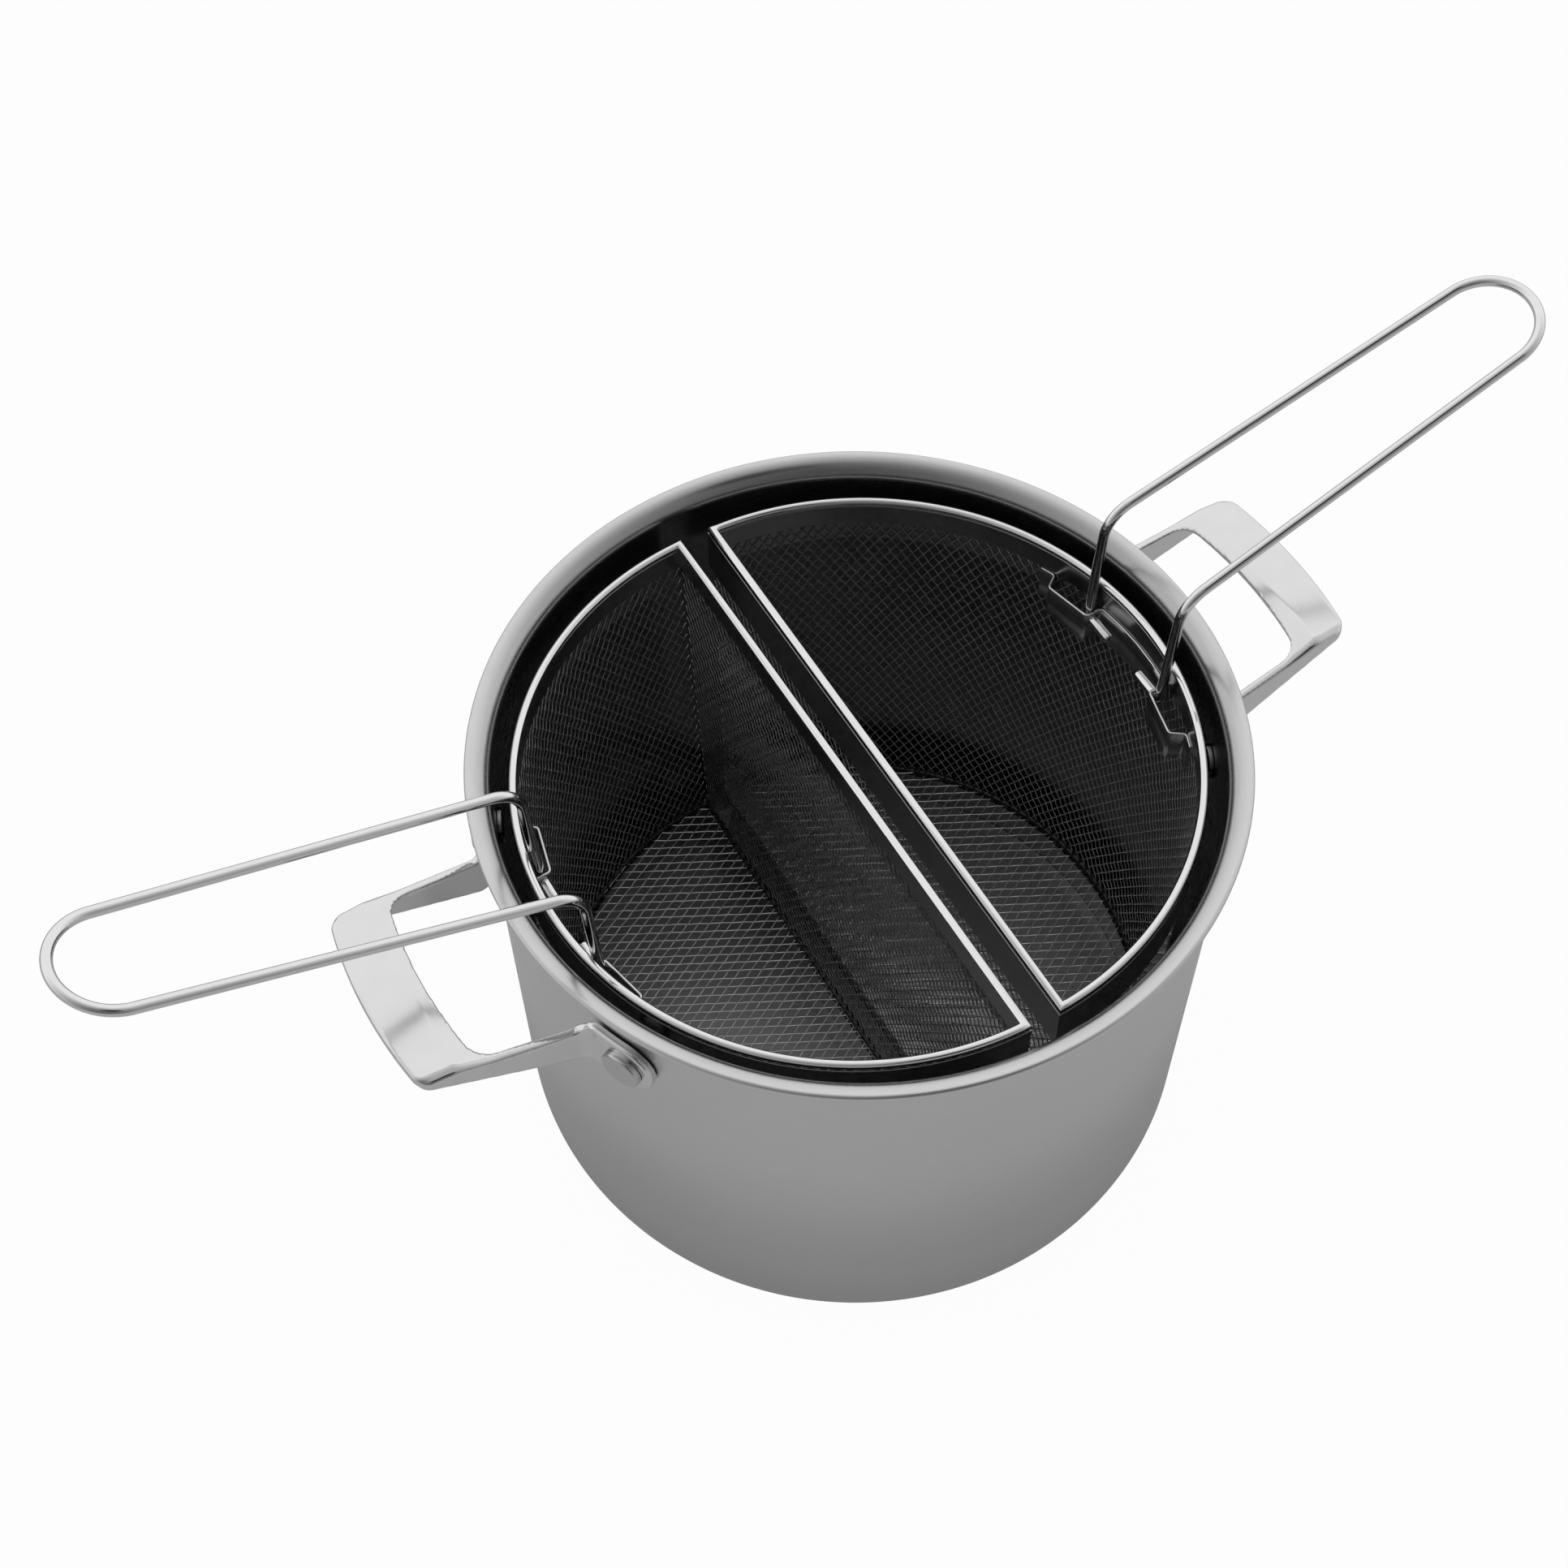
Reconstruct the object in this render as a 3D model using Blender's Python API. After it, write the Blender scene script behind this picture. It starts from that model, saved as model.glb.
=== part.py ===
"""A pasta pot: a flared pot with two cast side handles, holding two half-moon mesh baskets.

Lengths are in metres, +Z is up and the pot stands on the origin, with X through both side handles.
The two baskets are one design. The second is turned half a turn about the pot's axis.
"""

import math

import bmesh
import bpy
from mathutils import Vector
from mathutils.geometry import tessellate_polygon

# Fit between pieces that touch
GAP = 0.0003

# Pot body
POT_HEIGHT = 0.188
WALL_RADIUS = 0.1226  # outer face of the straight wall
WALL = 0.0027
LIP_REACH = 0.0054  # how far the pouring rim stands out past the wall
LIP_LEAN = math.radians(40)  # how far the rim's edge leans out of the vertical
BASE_SWEEP = 0.0308  # radius of the wide turn above the base, outer face
BASE_EDGE = 0.0075  # radius of the tight turn at the flat base, outer face
BASE_TURN = math.radians(45)  # share of the quarter turn that the wide turn takes
INNER_RADIUS = WALL_RADIUS - WALL
LIP_RADIUS = WALL_RADIUS + LIP_REACH

# Cast side handles
TAB_THICKNESS = 0.0034
TAB_RADIUS = 0.0108  # half the tab's height, and its round end
RIVET_SPREAD = 0.050  # distance of each rivet from the plane y = 0
RIVET_DROP = 0.0285  # depth of the rivets below the pot's rim
RIVET_HEIGHT = POT_HEIGHT - RIVET_DROP
ARM_THICKNESS = 0.0034
ARM_CHAMFER = 0.0008
ARM_ROOT_SPREAD = 0.0359  # centre of the arm where it leaves the wall
ARM_GRIP_SPREAD = 0.033  # centre of the arm where it meets the grip
ARM_BEND_RUN = 0.0045  # how far before the arm, along Y, the tab leaves the wall for the bend
ARM_HEEL = 0.0007  # height of the arm's lower edge over the tab's, where the arm starts
ARM_DIP = 0.0043  # depth of the arm's upper edge below the tab's, where the arm starts
ARM_KEEL = 0.0015  # depth of the arm's lower edge below the grip's underside, at the arm's end
GRIP_LIFT = 0.0153  # height of the grip's top over the rivets
GRIP_TOP = RIVET_HEIGHT + GRIP_LIFT
GRIP_THICKNESS = 0.0042
HANDLE_REACH = 0.0522  # how far the grip's outer corners stand out from the wall
GRIP_WIDTH = 0.0195
GRIP_OUTER = WALL_RADIUS + HANDLE_REACH
GRIP_INNER = GRIP_OUTER - GRIP_WIDTH
GRIP_OVERHANG = 0.0004  # how far the grip's sides stand out past its arms
GRIP_BOW = 0.0032  # how far both edges bow outwards at the middle
GRIP_OUTER_CORNER = 0.005
GRIP_INNER_CORNER = 0.0072
GRIP_TAIL = 0.008  # how far the grip's sides run in over the arms past its inner edge
GRIP_TURN = 0.007  # from the grip's inner edge out to the line where its top turns down to the arms
KNEE_RUN = 0.005  # from the grip's inner edge in to the knee where that slope meets the arm's upper edge
KNEE_DROP = 0.0037  # depth of the knee below the grip's top
GRIP_EDGE = 0.0011  # rounding of the grip's long edges

# Rivets
SHANK_RADIUS = 0.003
HOLE_RADIUS = SHANK_RADIUS + GAP
HEAD_RADIUS = 0.0072
HEAD_FACE_RADIUS = 0.0062
HEAD_THICKNESS = 0.0021
INNER_HEAD_RADIUS = 0.006
INNER_HEAD_THICKNESS = 0.0016

# Basket rim: round bead, two sheet bands under it and the net held between them
MOON_CENTER = 0.003  # centre of every half-moon's arc, out from the pot's axis
BEAD_RADIUS = 0.0015
BEAD_DROP = 0.0093  # depth of the bead's centre below the pot's rim
BEAD_HEIGHT = POT_HEIGHT - BEAD_DROP
RIM_CLEARANCE = 0.0065  # from the pot's wall to the bead's centre
RIM_RADIUS = INNER_RADIUS - MOON_CENTER - RIM_CLEARANCE
RIM_FLAT = 0.0065  # centre of the bead along its straight side
BAND_SHEET = 0.0004
BAND_TOP = BEAD_HEIGHT - BEAD_RADIUS - GAP
OUTER_BAND = 0.0189  # height of the outer band
INNER_BAND = 0.0089
OUTER_BAND_BOTTOM = BAND_TOP - OUTER_BAND
INNER_BAND_BOTTOM = BAND_TOP - INNER_BAND
OUTER_BAND_FACE = 0.00135  # outer face of the outer band, out from the bead's centre
INNER_BAND_FACE = -0.0008  # inner face of the inner band, out from the bead's centre

# Basket bottom: a crimped hem that joins the nets, over a sheet foot that stands on the pot's floor
HEM_INSET = 0.0029  # how far the round wall leans in from the rim to the hem
HEM_OUTSET = 0.0023  # how far the flat wall leans out
HEM_RADIUS = RIM_RADIUS - HEM_INSET
HEM_FLAT = RIM_FLAT - HEM_OUTSET
HEM_THICKNESS = 0.003
FOOT_HEIGHT = 0.0144
FOOT_BOTTOM = WALL + GAP
FOOT_TOP = FOOT_BOTTOM + FOOT_HEIGHT
HEM_HEIGHT = FOOT_TOP + HEM_THICKNESS / 2 - GAP / 3  # centre of the hem
FOOT_SHEET = 0.0006
FOOT_INSET = 0.0012  # outer face of the foot, in from the hem's centre

# Nets
NET_BOTTOM = HEM_HEIGHT + HEM_THICKNESS / 2 + GAP
NET_THICKNESS = 0.0006
NET_OUTSET = 0.00045  # centre of the curved net at the rim, out from the bead's centre
NET_FLAT_OUTSET = 0.0001  # the same for the flat net
NET_BAR = 0.002
NET_FRAME = 0.0024
WALL_CELL = (0.0335, 0.052)
FLOOR_CELL = (0.060, 0.0316)
LEAST_HOLE = 4 * NET_BAR * NET_BAR

# Wire handle, a closed loop whose ends turn in as pins
WIRE_RADIUS = 0.0018
LEG_SPREAD = 0.0216  # centre of each leg from the plane y = 0
LEG_TAPER = 0.0042  # how far the legs come together towards the loop's round end
TIP_SPREAD = LEG_SPREAD - LEG_TAPER
PIN_LENGTH = 0.0131
PIN_END = LEG_SPREAD - PIN_LENGTH  # end of each pin from the plane y = 0
PIN_CLEARANCE = 0.0002
PIN_HOLE_RADIUS = WIRE_RADIUS + PIN_CLEARANCE
LEG_LEAN = math.radians(2.6)
LEG_RISE = 0.0354  # height over the bead at which the leg's line meets the loop's line
LEG_TOP = BEAD_HEIGHT + LEG_RISE
LOOP_RISE = math.radians(18)
LOOP_REACH = 0.1444  # how far the loop's end stands out past the bead
LOOP_TIP = RIM_RADIUS + LOOP_REACH
PIN_BEND = 0.0025
SHOULDER_BEND = 0.013
BEAD_LINE = RIM_RADIUS - BEAD_RADIUS - GAP - WIRE_RADIUS  # closest that a leg stands to the bead
LEG_AT_BEAD = MOON_CENTER + math.sqrt(BEAD_LINE ** 2 - LEG_SPREAD ** 2)

# Handle bracket: one strip on the net under the inner band, bent into a pocket around each leg
STRIP = 0.0009
BRACKET_DEPTH = 0.014
BRACKET_TOP = INNER_BAND_BOTTOM - GAP
BRACKET_BOTTOM = BRACKET_TOP - BRACKET_DEPTH
BRACKET_RADIUS = RIM_RADIUS + NET_OUTSET - NET_THICKNESS / 2 - 2 * GAP - STRIP / 2
STRIP_BEND = 0.0015
SHOULDER_SPREAD = LEG_SPREAD - WIRE_RADIUS - GAP - STRIP / 2  # the pocket's end wall, with the pin's hole
PIN_DROP = 0.0037  # depth of the pins below the strip's top
PIVOT_HEIGHT = BRACKET_TOP - PIN_DROP
PIVOT = LEG_AT_BEAD - (BEAD_HEIGHT - PIVOT_HEIGHT) * math.tan(LEG_LEAN)
POCKET_NEAR = 0.0027  # from a pin's axis in to the pocket's corner beside the leg
POCKET_FAR = 0.0068  # the same to the pocket's far corner
POCKET_LENGTH = 0.0148  # from a leg along Y to the pocket's far corner
TAB_BEND = 0.0183  # from a leg along Y to the bend where the end tab starts
TAB_LENGTH = 0.005

# Fineness of the round shapes
POT_STEPS = 48
MOON_STEPS = 36
BEAD_SIDES = 8
HEM_SIDES = 6
RIVET_STEPS = 14
HOLE_STEPS = 16
WIRE_STEPS = 2  # rings of the wire's bevel, which give it eight sides
BEND_STEPS = 3
OVERRUN = 0.01  # how far a cutter passes the faces it cuts


def clear_scene():
    """Remove what the scene starts with."""
    for thing in list(bpy.data.objects):
        bpy.data.objects.remove(thing, do_unlink=True)


def metal(name, grey, roughness):
    """A plain metal of one grey."""
    material = bpy.data.materials.new(name)
    material.use_nodes = True
    shader = material.node_tree.nodes["Principled BSDF"]
    shader.inputs["Base Color"].default_value = (grey, grey, grey, 1)
    shader.inputs["Metallic"].default_value = 1
    shader.inputs["Roughness"].default_value = roughness
    return material


def arc(center, radius, start, end, steps):
    """Points along a circular arc, both ends included."""
    turns = [start + (end - start) * step / steps for step in range(steps + 1)]
    return [(center[0] + radius * math.cos(a), center[1] + radius * math.sin(a)) for a in turns]


def circle(center, radius, sides):
    """Points of a closed circle."""
    return arc(center, radius, 0, 2 * math.pi, sides)[:-1]


def finished(mesh, name, material, parent=None):
    """Turn a bmesh into an object, facing out and shaded smooth where it is round."""
    bmesh.ops.recalc_face_normals(mesh, faces=mesh.faces)
    data = bpy.data.meshes.new(name)
    mesh.to_mesh(data)
    mesh.free()
    data.shade_smooth()
    data.set_sharp_from_angle(angle=math.radians(35))
    data.materials.append(material)
    return placed(data, name, parent)


def placed(data, name, parent=None, location=(0, 0, 0)):
    """Link an object for the data, carried by its parent."""
    item = bpy.data.objects.new(name, data)
    item.parent = parent
    item.location = location
    bpy.context.scene.collection.objects.link(item)
    return item


def bridged(mesh, rings, closed):
    """Join rings of corners into a skin, capped at both ends if it isn't closed."""
    pairs = list(zip(rings, rings[1:]))
    if closed:
        pairs.append((rings[-1], rings[0]))
    for one, other in pairs:
        for k in range(len(one)):
            following = (k + 1) % len(one)
            mesh.faces.new((one[k], one[following], other[following], other[k]))
    if not closed:
        mesh.faces.new(rings[0])
        mesh.faces.new(rings[-1])


def turned(profile, steps):
    """A solid of revolution about Z from (radius, height) points that start and end on the axis."""
    mesh = bmesh.new()
    corners = [mesh.verts.new((radius, 0, height)) for radius, height in profile]
    edges = [mesh.edges.new(pair) for pair in zip(corners, corners[1:])]
    bmesh.ops.spin(
        mesh, geom=corners + edges, cent=(0, 0, 0), axis=(0, 0, 1), angle=2 * math.pi,
        steps=steps, use_merge=True,
    )
    bmesh.ops.remove_doubles(mesh, verts=mesh.verts, dist=GAP / 100)
    return mesh


def outward(path, index, closed):
    """The mitred outward direction at a corner of a level path that runs anticlockwise."""
    count = len(path)
    normals = []
    for first in (index - 1, index):
        if not closed and not 0 <= first < count - 1:
            continue
        one = Vector(path[first % count])
        other = Vector(path[(first + 1) % count])
        along = (other - one).normalized()
        normals.append(Vector((along.y, -along.x)))
    if len(normals) == 1:
        return normals[0]
    return (normals[0] + normals[1]) / (1 + normals[0].dot(normals[1]))


def rail(path, section, closed=True):
    """A section of (outward, height) points carried along a level path."""
    mesh = bmesh.new()
    rings = []
    for index, point in enumerate(path):
        out = outward(path, index, closed)
        rings.append(
            [mesh.verts.new((point[0] + out.x * o, point[1] + out.y * o, h)) for o, h in section]
        )
    bridged(mesh, rings, closed)
    return mesh


def bent(points, radii, steps):
    """A route through the points, each inner corner turned into an arc of its radius."""
    route = [points[0]]
    for index in range(1, len(points) - 1):
        corner = points[index]
        before = (points[index - 1] - corner).normalized()
        after = (points[index + 1] - corner).normalized()
        half = before.angle(after) / 2
        radius = radii[index - 1]
        center = corner + (before + after).normalized() * radius / math.sin(half)
        start = corner + before * radius / math.tan(half) - center
        end = corner + after * radius / math.tan(half) - center
        turn = math.pi - 2 * half
        for step in range(steps + 1):
            share = step / steps
            arm = start * math.sin((1 - share) * turn) + end * math.sin(share * turn)
            route.append(center + arm / math.sin(turn))
    route.append(points[-1])
    return route


def half_moon(radius, flat, steps=MOON_STEPS):
    """A half-moon outline, anticlockwise: an arc closed by a straight side."""
    end = math.acos((flat - MOON_CENTER) / radius)
    return arc((MOON_CENTER, 0), radius, -end, end, steps)


def strip_section(inner, outer, bottom, top):
    """An upright rectangle, as (outward, height) points."""
    return [(inner, bottom), (outer, bottom), (outer, top), (inner, top)]


def cylinder_cutter(name, radius, start, end, parent=None):
    """A hidden round cutter from one point to another."""
    start, end = Vector(start), Vector(end)
    mesh = bmesh.new()
    bmesh.ops.create_cone(
        mesh, cap_ends=True, segments=HOLE_STEPS, radius1=radius, radius2=radius,
        depth=(end - start).length,
    )
    data = bpy.data.meshes.new(name)
    mesh.to_mesh(data)
    mesh.free()
    cutter = placed(data, name, parent, (start + end) / 2)
    cutter.rotation_mode = "QUATERNION"
    cutter.rotation_quaternion = (end - start).to_track_quat("Z", "Y")
    cutter.hide_render = True
    cutter.display_type = "WIRE"
    return cutter


def combined(item, other, operation):
    """Add a Boolean modifier to the item."""
    modifier = item.modifiers.new(other.name, "BOOLEAN")
    modifier.operation = operation
    modifier.solver = "EXACT"
    modifier.object = other


# Pot body

def pot_profile():
    """The pot's sheet from the middle of its floor, up inside, over the lip and down outside."""
    below = BASE_SWEEP - BASE_EDGE
    sweep_center = (WALL_RADIUS - BASE_SWEEP, BASE_EDGE + below * math.sin(BASE_TURN))
    edge_center = (sweep_center[0] + below * math.cos(BASE_TURN), BASE_EDGE)
    middle = WALL_RADIUS - WALL / 2
    flare = (LIP_RADIUS - WALL_RADIUS) / (1 - math.cos(LIP_LEAN))
    flare_start = POT_HEIGHT - WALL / 2 - flare * math.sin(LIP_LEAN)
    flare_center = (middle + flare, flare_start)
    lip_center = (LIP_RADIUS - WALL / 2, POT_HEIGHT - WALL / 2)
    quarter = math.pi / 2
    inside = arc(edge_center, BASE_EDGE - WALL, -quarter, -BASE_TURN, 2)
    inside += arc(sweep_center, BASE_SWEEP - WALL, -BASE_TURN, 0, 4)[1:]
    inside += arc(flare_center, flare + WALL / 2, math.pi, math.pi - LIP_LEAN, 4)
    lip = arc(lip_center, WALL / 2, math.pi - LIP_LEAN, -LIP_LEAN, 4)[1:-1]
    outside = arc(flare_center, flare - WALL / 2, math.pi - LIP_LEAN, math.pi, 4)
    outside += arc(sweep_center, BASE_SWEEP, 0, -BASE_TURN, 4)
    outside += arc(edge_center, BASE_EDGE, -BASE_TURN, -quarter, 2)[1:]
    return [(0, WALL)] + inside + lip + outside + [(0, 0)]


def rivet_angles():
    """The four rivets' directions about the pot's axis, by the name of their place."""
    angle = math.asin(RIVET_SPREAD / WALL_RADIUS)
    return {
        "right_back": angle,
        "left_back": math.pi - angle,
        "left_front": math.pi + angle,
        "right_front": -angle,
    }


def radial(angle, radius, height):
    """A point at a radius from the pot's axis."""
    return Vector((radius * math.cos(angle), radius * math.sin(angle), height))


def add_pot(material):
    """The pot, with its four rivet holes."""
    pot = finished(turned(pot_profile(), POT_STEPS), "pot_body", material)
    for place, angle in rivet_angles().items():
        cutter = cylinder_cutter(
            "rivet_hole_" + place, HOLE_RADIUS,
            radial(angle, INNER_RADIUS - OVERRUN, RIVET_HEIGHT),
            radial(angle, WALL_RADIUS + OVERRUN, RIVET_HEIGHT),
        )
        combined(pot, cutter, "DIFFERENCE")


# Cast side handles

def chamfered(width, bottom, top):
    """An upright rectangle with cut corners, as (across, height) points."""
    half = width / 2
    inset = half - ARM_CHAMFER
    return [
        (-inset, bottom), (inset, bottom), (half, bottom + ARM_CHAMFER), (half, top - ARM_CHAMFER),
        (inset, top), (-inset, top), (-half, top - ARM_CHAMFER), (-half, bottom + ARM_CHAMFER),
    ]


def tab_stations():
    """The tab on the wall, from its round end to its bend: path points and sections."""
    radius = WALL_RADIUS + GAP + TAB_THICKNESS / 2
    rivet = math.asin(RIVET_SPREAD / WALL_RADIUS)
    leave = math.asin((ARM_ROOT_SPREAD + ARM_BEND_RUN) / radius)
    stations = []
    for share in (0.97, 0.85, 0.6, 0.3, 0):
        half = TAB_RADIUS * math.sqrt(1 - share ** 2)
        point = radial(rivet + share * TAB_RADIUS / radius, radius, 0).xy
        stations.append((point, chamfered(TAB_THICKNESS, RIVET_HEIGHT - half, RIVET_HEIGHT + half)))
    point = radial((rivet + leave) / 2, radius, 0).xy
    stations.append((point, chamfered(TAB_THICKNESS, RIVET_HEIGHT - TAB_RADIUS, RIVET_HEIGHT + TAB_RADIUS)))
    return stations


def arm_bend():
    """The middle line of the round bend from the tab out to the arm, as points."""
    radius = WALL_RADIUS + GAP + TAB_THICKNESS / 2
    leave = math.asin((ARM_ROOT_SPREAD + ARM_BEND_RUN) / radius)
    start = radial(leave, radius, 0).xy
    along = Vector((math.sin(leave), -math.cos(leave)))
    run = ARM_BEND_RUN / math.cos(leave)
    corner = start + along * run
    bend = run / math.tan((math.pi / 2 - leave) / 2)
    return bent([start - along * run, corner, corner + Vector((2 * run, 0))], [bend], BEND_STEPS)[1:-1]


def bend_stations():
    """The bend's path points and sections."""
    stations = []
    for step, point in enumerate(arm_bend()):
        share = step / BEND_STEPS
        thickness = TAB_THICKNESS + (ARM_THICKNESS - TAB_THICKNESS) * share
        bottom = RIVET_HEIGHT - TAB_RADIUS + ARM_HEEL * share
        top = RIVET_HEIGHT + TAB_RADIUS - ARM_DIP * math.sin(share * math.pi / 2)
        stations.append((point, chamfered(thickness, bottom, top)))
    return stations


def arm_spread(x):
    """The distance of the arm's middle line from the plane y = 0 at a place along X."""
    start = arm_bend()[-1].x
    share = (x - start) / (GRIP_OUTER - start)
    return ARM_ROOT_SPREAD + (ARM_GRIP_SPREAD - ARM_ROOT_SPREAD) * share


def arm_stations():
    """The arm from the end of its bend to the grip's outer corner: path points and sections."""
    start = arm_bend()[-1].x
    end = GRIP_OUTER - GRIP_OUTER_CORNER
    heel = RIVET_HEIGHT - TAB_RADIUS + ARM_HEEL
    keel = GRIP_TOP - GRIP_THICKNESS - ARM_KEEL
    knee = GRIP_INNER - KNEE_RUN
    tops = {
        (start + knee) / 2: (RIVET_HEIGHT + TAB_RADIUS - ARM_DIP + GRIP_TOP - KNEE_DROP) / 2,
        knee: GRIP_TOP - KNEE_DROP + GAP / 2,
        GRIP_INNER + GRIP_TURN: GRIP_TOP - GAP,
        end: GRIP_TOP - GAP,
    }
    stations = []
    for x, top in tops.items():
        bottom = heel + (keel - heel) * (x - start) / (end - start)
        stations.append((Vector((x, arm_spread(x))), chamfered(ARM_THICKNESS, bottom, top)))
    radius = GRIP_OUTER_CORNER - GRIP_OVERHANG - ARM_THICKNESS / 2
    center = Vector((end, arm_spread(end) - radius))
    for share in (0.4, 0.8):
        turn = share * math.pi / 2
        bottom = keel + ARM_KEEL * share
        point = center + Vector((math.sin(turn), math.cos(turn))) * radius
        stations.append((point, chamfered(ARM_THICKNESS, bottom, GRIP_TOP - GAP)))
    return stations


def arm_mesh(side):
    """One arm with its tab. Side is 1 at +Y and -1 at -Y."""
    stations = tab_stations() + bend_stations() + arm_stations()
    path = [(point.x, point.y) for point, _ in stations]
    mesh = bmesh.new()
    rings = []
    for index, (point, section) in enumerate(stations):
        across = outward(path, index, False)
        rings.append(
            [mesh.verts.new((point.x + across.x * a, side * (point.y + across.y * a), h)) for a, h in section]
        )
    bridged(mesh, rings, False)
    return mesh


def rounded(corners, steps):
    """An outline whose (x, y, radius) corners are turned into arcs, where their radius isn't zero."""
    outline = []
    count = len(corners)
    for index, (x, y, radius) in enumerate(corners):
        corner = Vector((x, y))
        before = (Vector(corners[index - 1][:2]) - corner).normalized()
        after = (Vector(corners[(index + 1) % count][:2]) - corner).normalized()
        if not radius:
            outline.append(corner)
            continue
        half = before.angle(after) / 2
        center = corner + (before + after).normalized() * radius / math.sin(half)
        start = corner + before * radius / math.tan(half) - center
        end = corner + after * radius / math.tan(half) - center
        turn = start.angle_signed(end)
        for step in range(steps + 1):
            angle = -turn * step / steps
            outline.append(center + Vector((
                start.x * math.cos(angle) - start.y * math.sin(angle),
                start.x * math.sin(angle) + start.y * math.cos(angle),
            )))
    return outline


def grip_outline():
    """The grip and its tails over the arms seen from above, anticlockwise: both long edges bow outwards."""
    tail = GRIP_INNER - GRIP_TAIL
    beside = ARM_THICKNESS / 2 + GRIP_OVERHANG
    within = ARM_THICKNESS / 2 + GAP
    side = ARM_GRIP_SPREAD + beside
    opening = arm_spread(GRIP_INNER) - within
    shares = (-0.7, -0.35, 0, 0.35, 0.7)
    corners = [(tail, -arm_spread(tail) - beside, 0), (GRIP_OUTER, -side, GRIP_OUTER_CORNER)]
    corners += [(GRIP_OUTER + GRIP_BOW * (1 - s * s), s * side, 0) for s in shares]
    corners += [(GRIP_OUTER, side, GRIP_OUTER_CORNER), (tail, arm_spread(tail) + beside, 0)]
    corners += [(tail, arm_spread(tail) - within, 0), (GRIP_INNER, opening, GRIP_INNER_CORNER)]
    corners += [(GRIP_INNER + GRIP_BOW * (1 - s * s), -s * opening, 0) for s in shares]
    corners += [(GRIP_INNER, -opening, GRIP_INNER_CORNER), (tail, within - arm_spread(tail), 0)]
    return rounded(corners, 4)


def grip_mesh():
    """The flat grip with its edges rounded over."""
    mesh = bmesh.new()
    corners = [mesh.verts.new((p.x, p.y, GRIP_TOP - GRIP_THICKNESS)) for p in grip_outline()]
    base = mesh.faces.new(corners)
    raised = bmesh.ops.extrude_face_region(mesh, geom=[base])["geom"]
    lifted = [part for part in raised if isinstance(part, bmesh.types.BMVert)]
    bmesh.ops.translate(mesh, verts=lifted, vec=(0, 0, GRIP_THICKNESS))
    bmesh.ops.recalc_face_normals(mesh, faces=mesh.faces)
    level = [edge for edge in mesh.edges if edge.verts[0].co.z == edge.verts[1].co.z]
    bmesh.ops.bevel(
        mesh, geom=level, offset=GRIP_EDGE, offset_type="OFFSET", segments=2, profile=0.5,
        affect="EDGES",
    )
    return mesh


def slope_cutter(name, parent, material):
    """A hidden prism above the slope where the grip's top turns down to the arms."""
    knee = Vector((GRIP_INNER - KNEE_RUN, GRIP_TOP - KNEE_DROP))
    turn = Vector((GRIP_INNER + GRIP_TURN, GRIP_TOP))
    start = Vector((arm_bend()[-1].x, RIVET_HEIGHT + TAB_RADIUS - ARM_DIP))
    past = turn + (turn - knee).normalized() * OVERRUN
    above = GRIP_TOP + OVERRUN
    profile = [start, knee, past, Vector((past.x, above)), Vector((start.x, above))]
    half = ARM_ROOT_SPREAD + OVERRUN
    mesh = bmesh.new()
    bridged(mesh, [[mesh.verts.new((p.x, y, p.y)) for p in profile] for y in (-half, half)], False)
    cutter = finished(mesh, name + "_slope", material, parent)
    cutter.hide_render = True
    cutter.display_type = "WIRE"
    return cutter


def add_side_handle(name, turn, material):
    """A cast handle: the grip and its two arms as one piece, drilled for its rivets."""
    frame = placed(None, name + "_frame")
    frame.rotation_euler.z = turn
    handle = finished(grip_mesh(), name, material, frame)
    combined(handle, slope_cutter(name, frame, material), "DIFFERENCE")
    for side, place in ((1, "back"), (-1, "front")):
        arm = finished(arm_mesh(side), name + "_arm_" + place, material, frame)
        arm.hide_render = True
        arm.display_type = "WIRE"
        combined(handle, arm, "UNION")
    for side, place in ((1, "back"), (-1, "front")):
        angle = side * math.asin(RIVET_SPREAD / WALL_RADIUS)
        cutter = cylinder_cutter(
            name + "_hole_" + place, HOLE_RADIUS,
            radial(angle, WALL_RADIUS - OVERRUN, RIVET_HEIGHT),
            radial(angle, WALL_RADIUS + OVERRUN, RIVET_HEIGHT),
            frame,
        )
        combined(handle, cutter, "DIFFERENCE")


# Rivets

def rivet_profile():
    """A rivet about its own axis: low inner head, shank, and stepped outer head at the top."""
    inner_face = INNER_RADIUS - 2 * GAP
    outer_face = WALL_RADIUS + GAP + TAB_THICKNESS + GAP
    bottom = inner_face - INNER_HEAD_THICKNESS
    top = outer_face + HEAD_THICKNESS
    step = HEAD_RADIUS - HEAD_FACE_RADIUS
    return [
        (0, top), (HEAD_FACE_RADIUS, top), (HEAD_RADIUS, top - step), (HEAD_RADIUS, outer_face),
        (SHANK_RADIUS, outer_face), (SHANK_RADIUS, inner_face), (INNER_HEAD_RADIUS, inner_face),
        (INNER_HEAD_RADIUS - step, bottom), (0, bottom),
    ]


def add_rivets(material):
    """Four rivets, each along its own radius of the pot."""
    for place, angle in rivet_angles().items():
        rivet = finished(turned(rivet_profile(), RIVET_STEPS), "rivet_" + place, material)
        rivet.location.z = RIVET_HEIGHT
        rivet.rotation_euler = (0, math.pi / 2, angle)


# Nets

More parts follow.
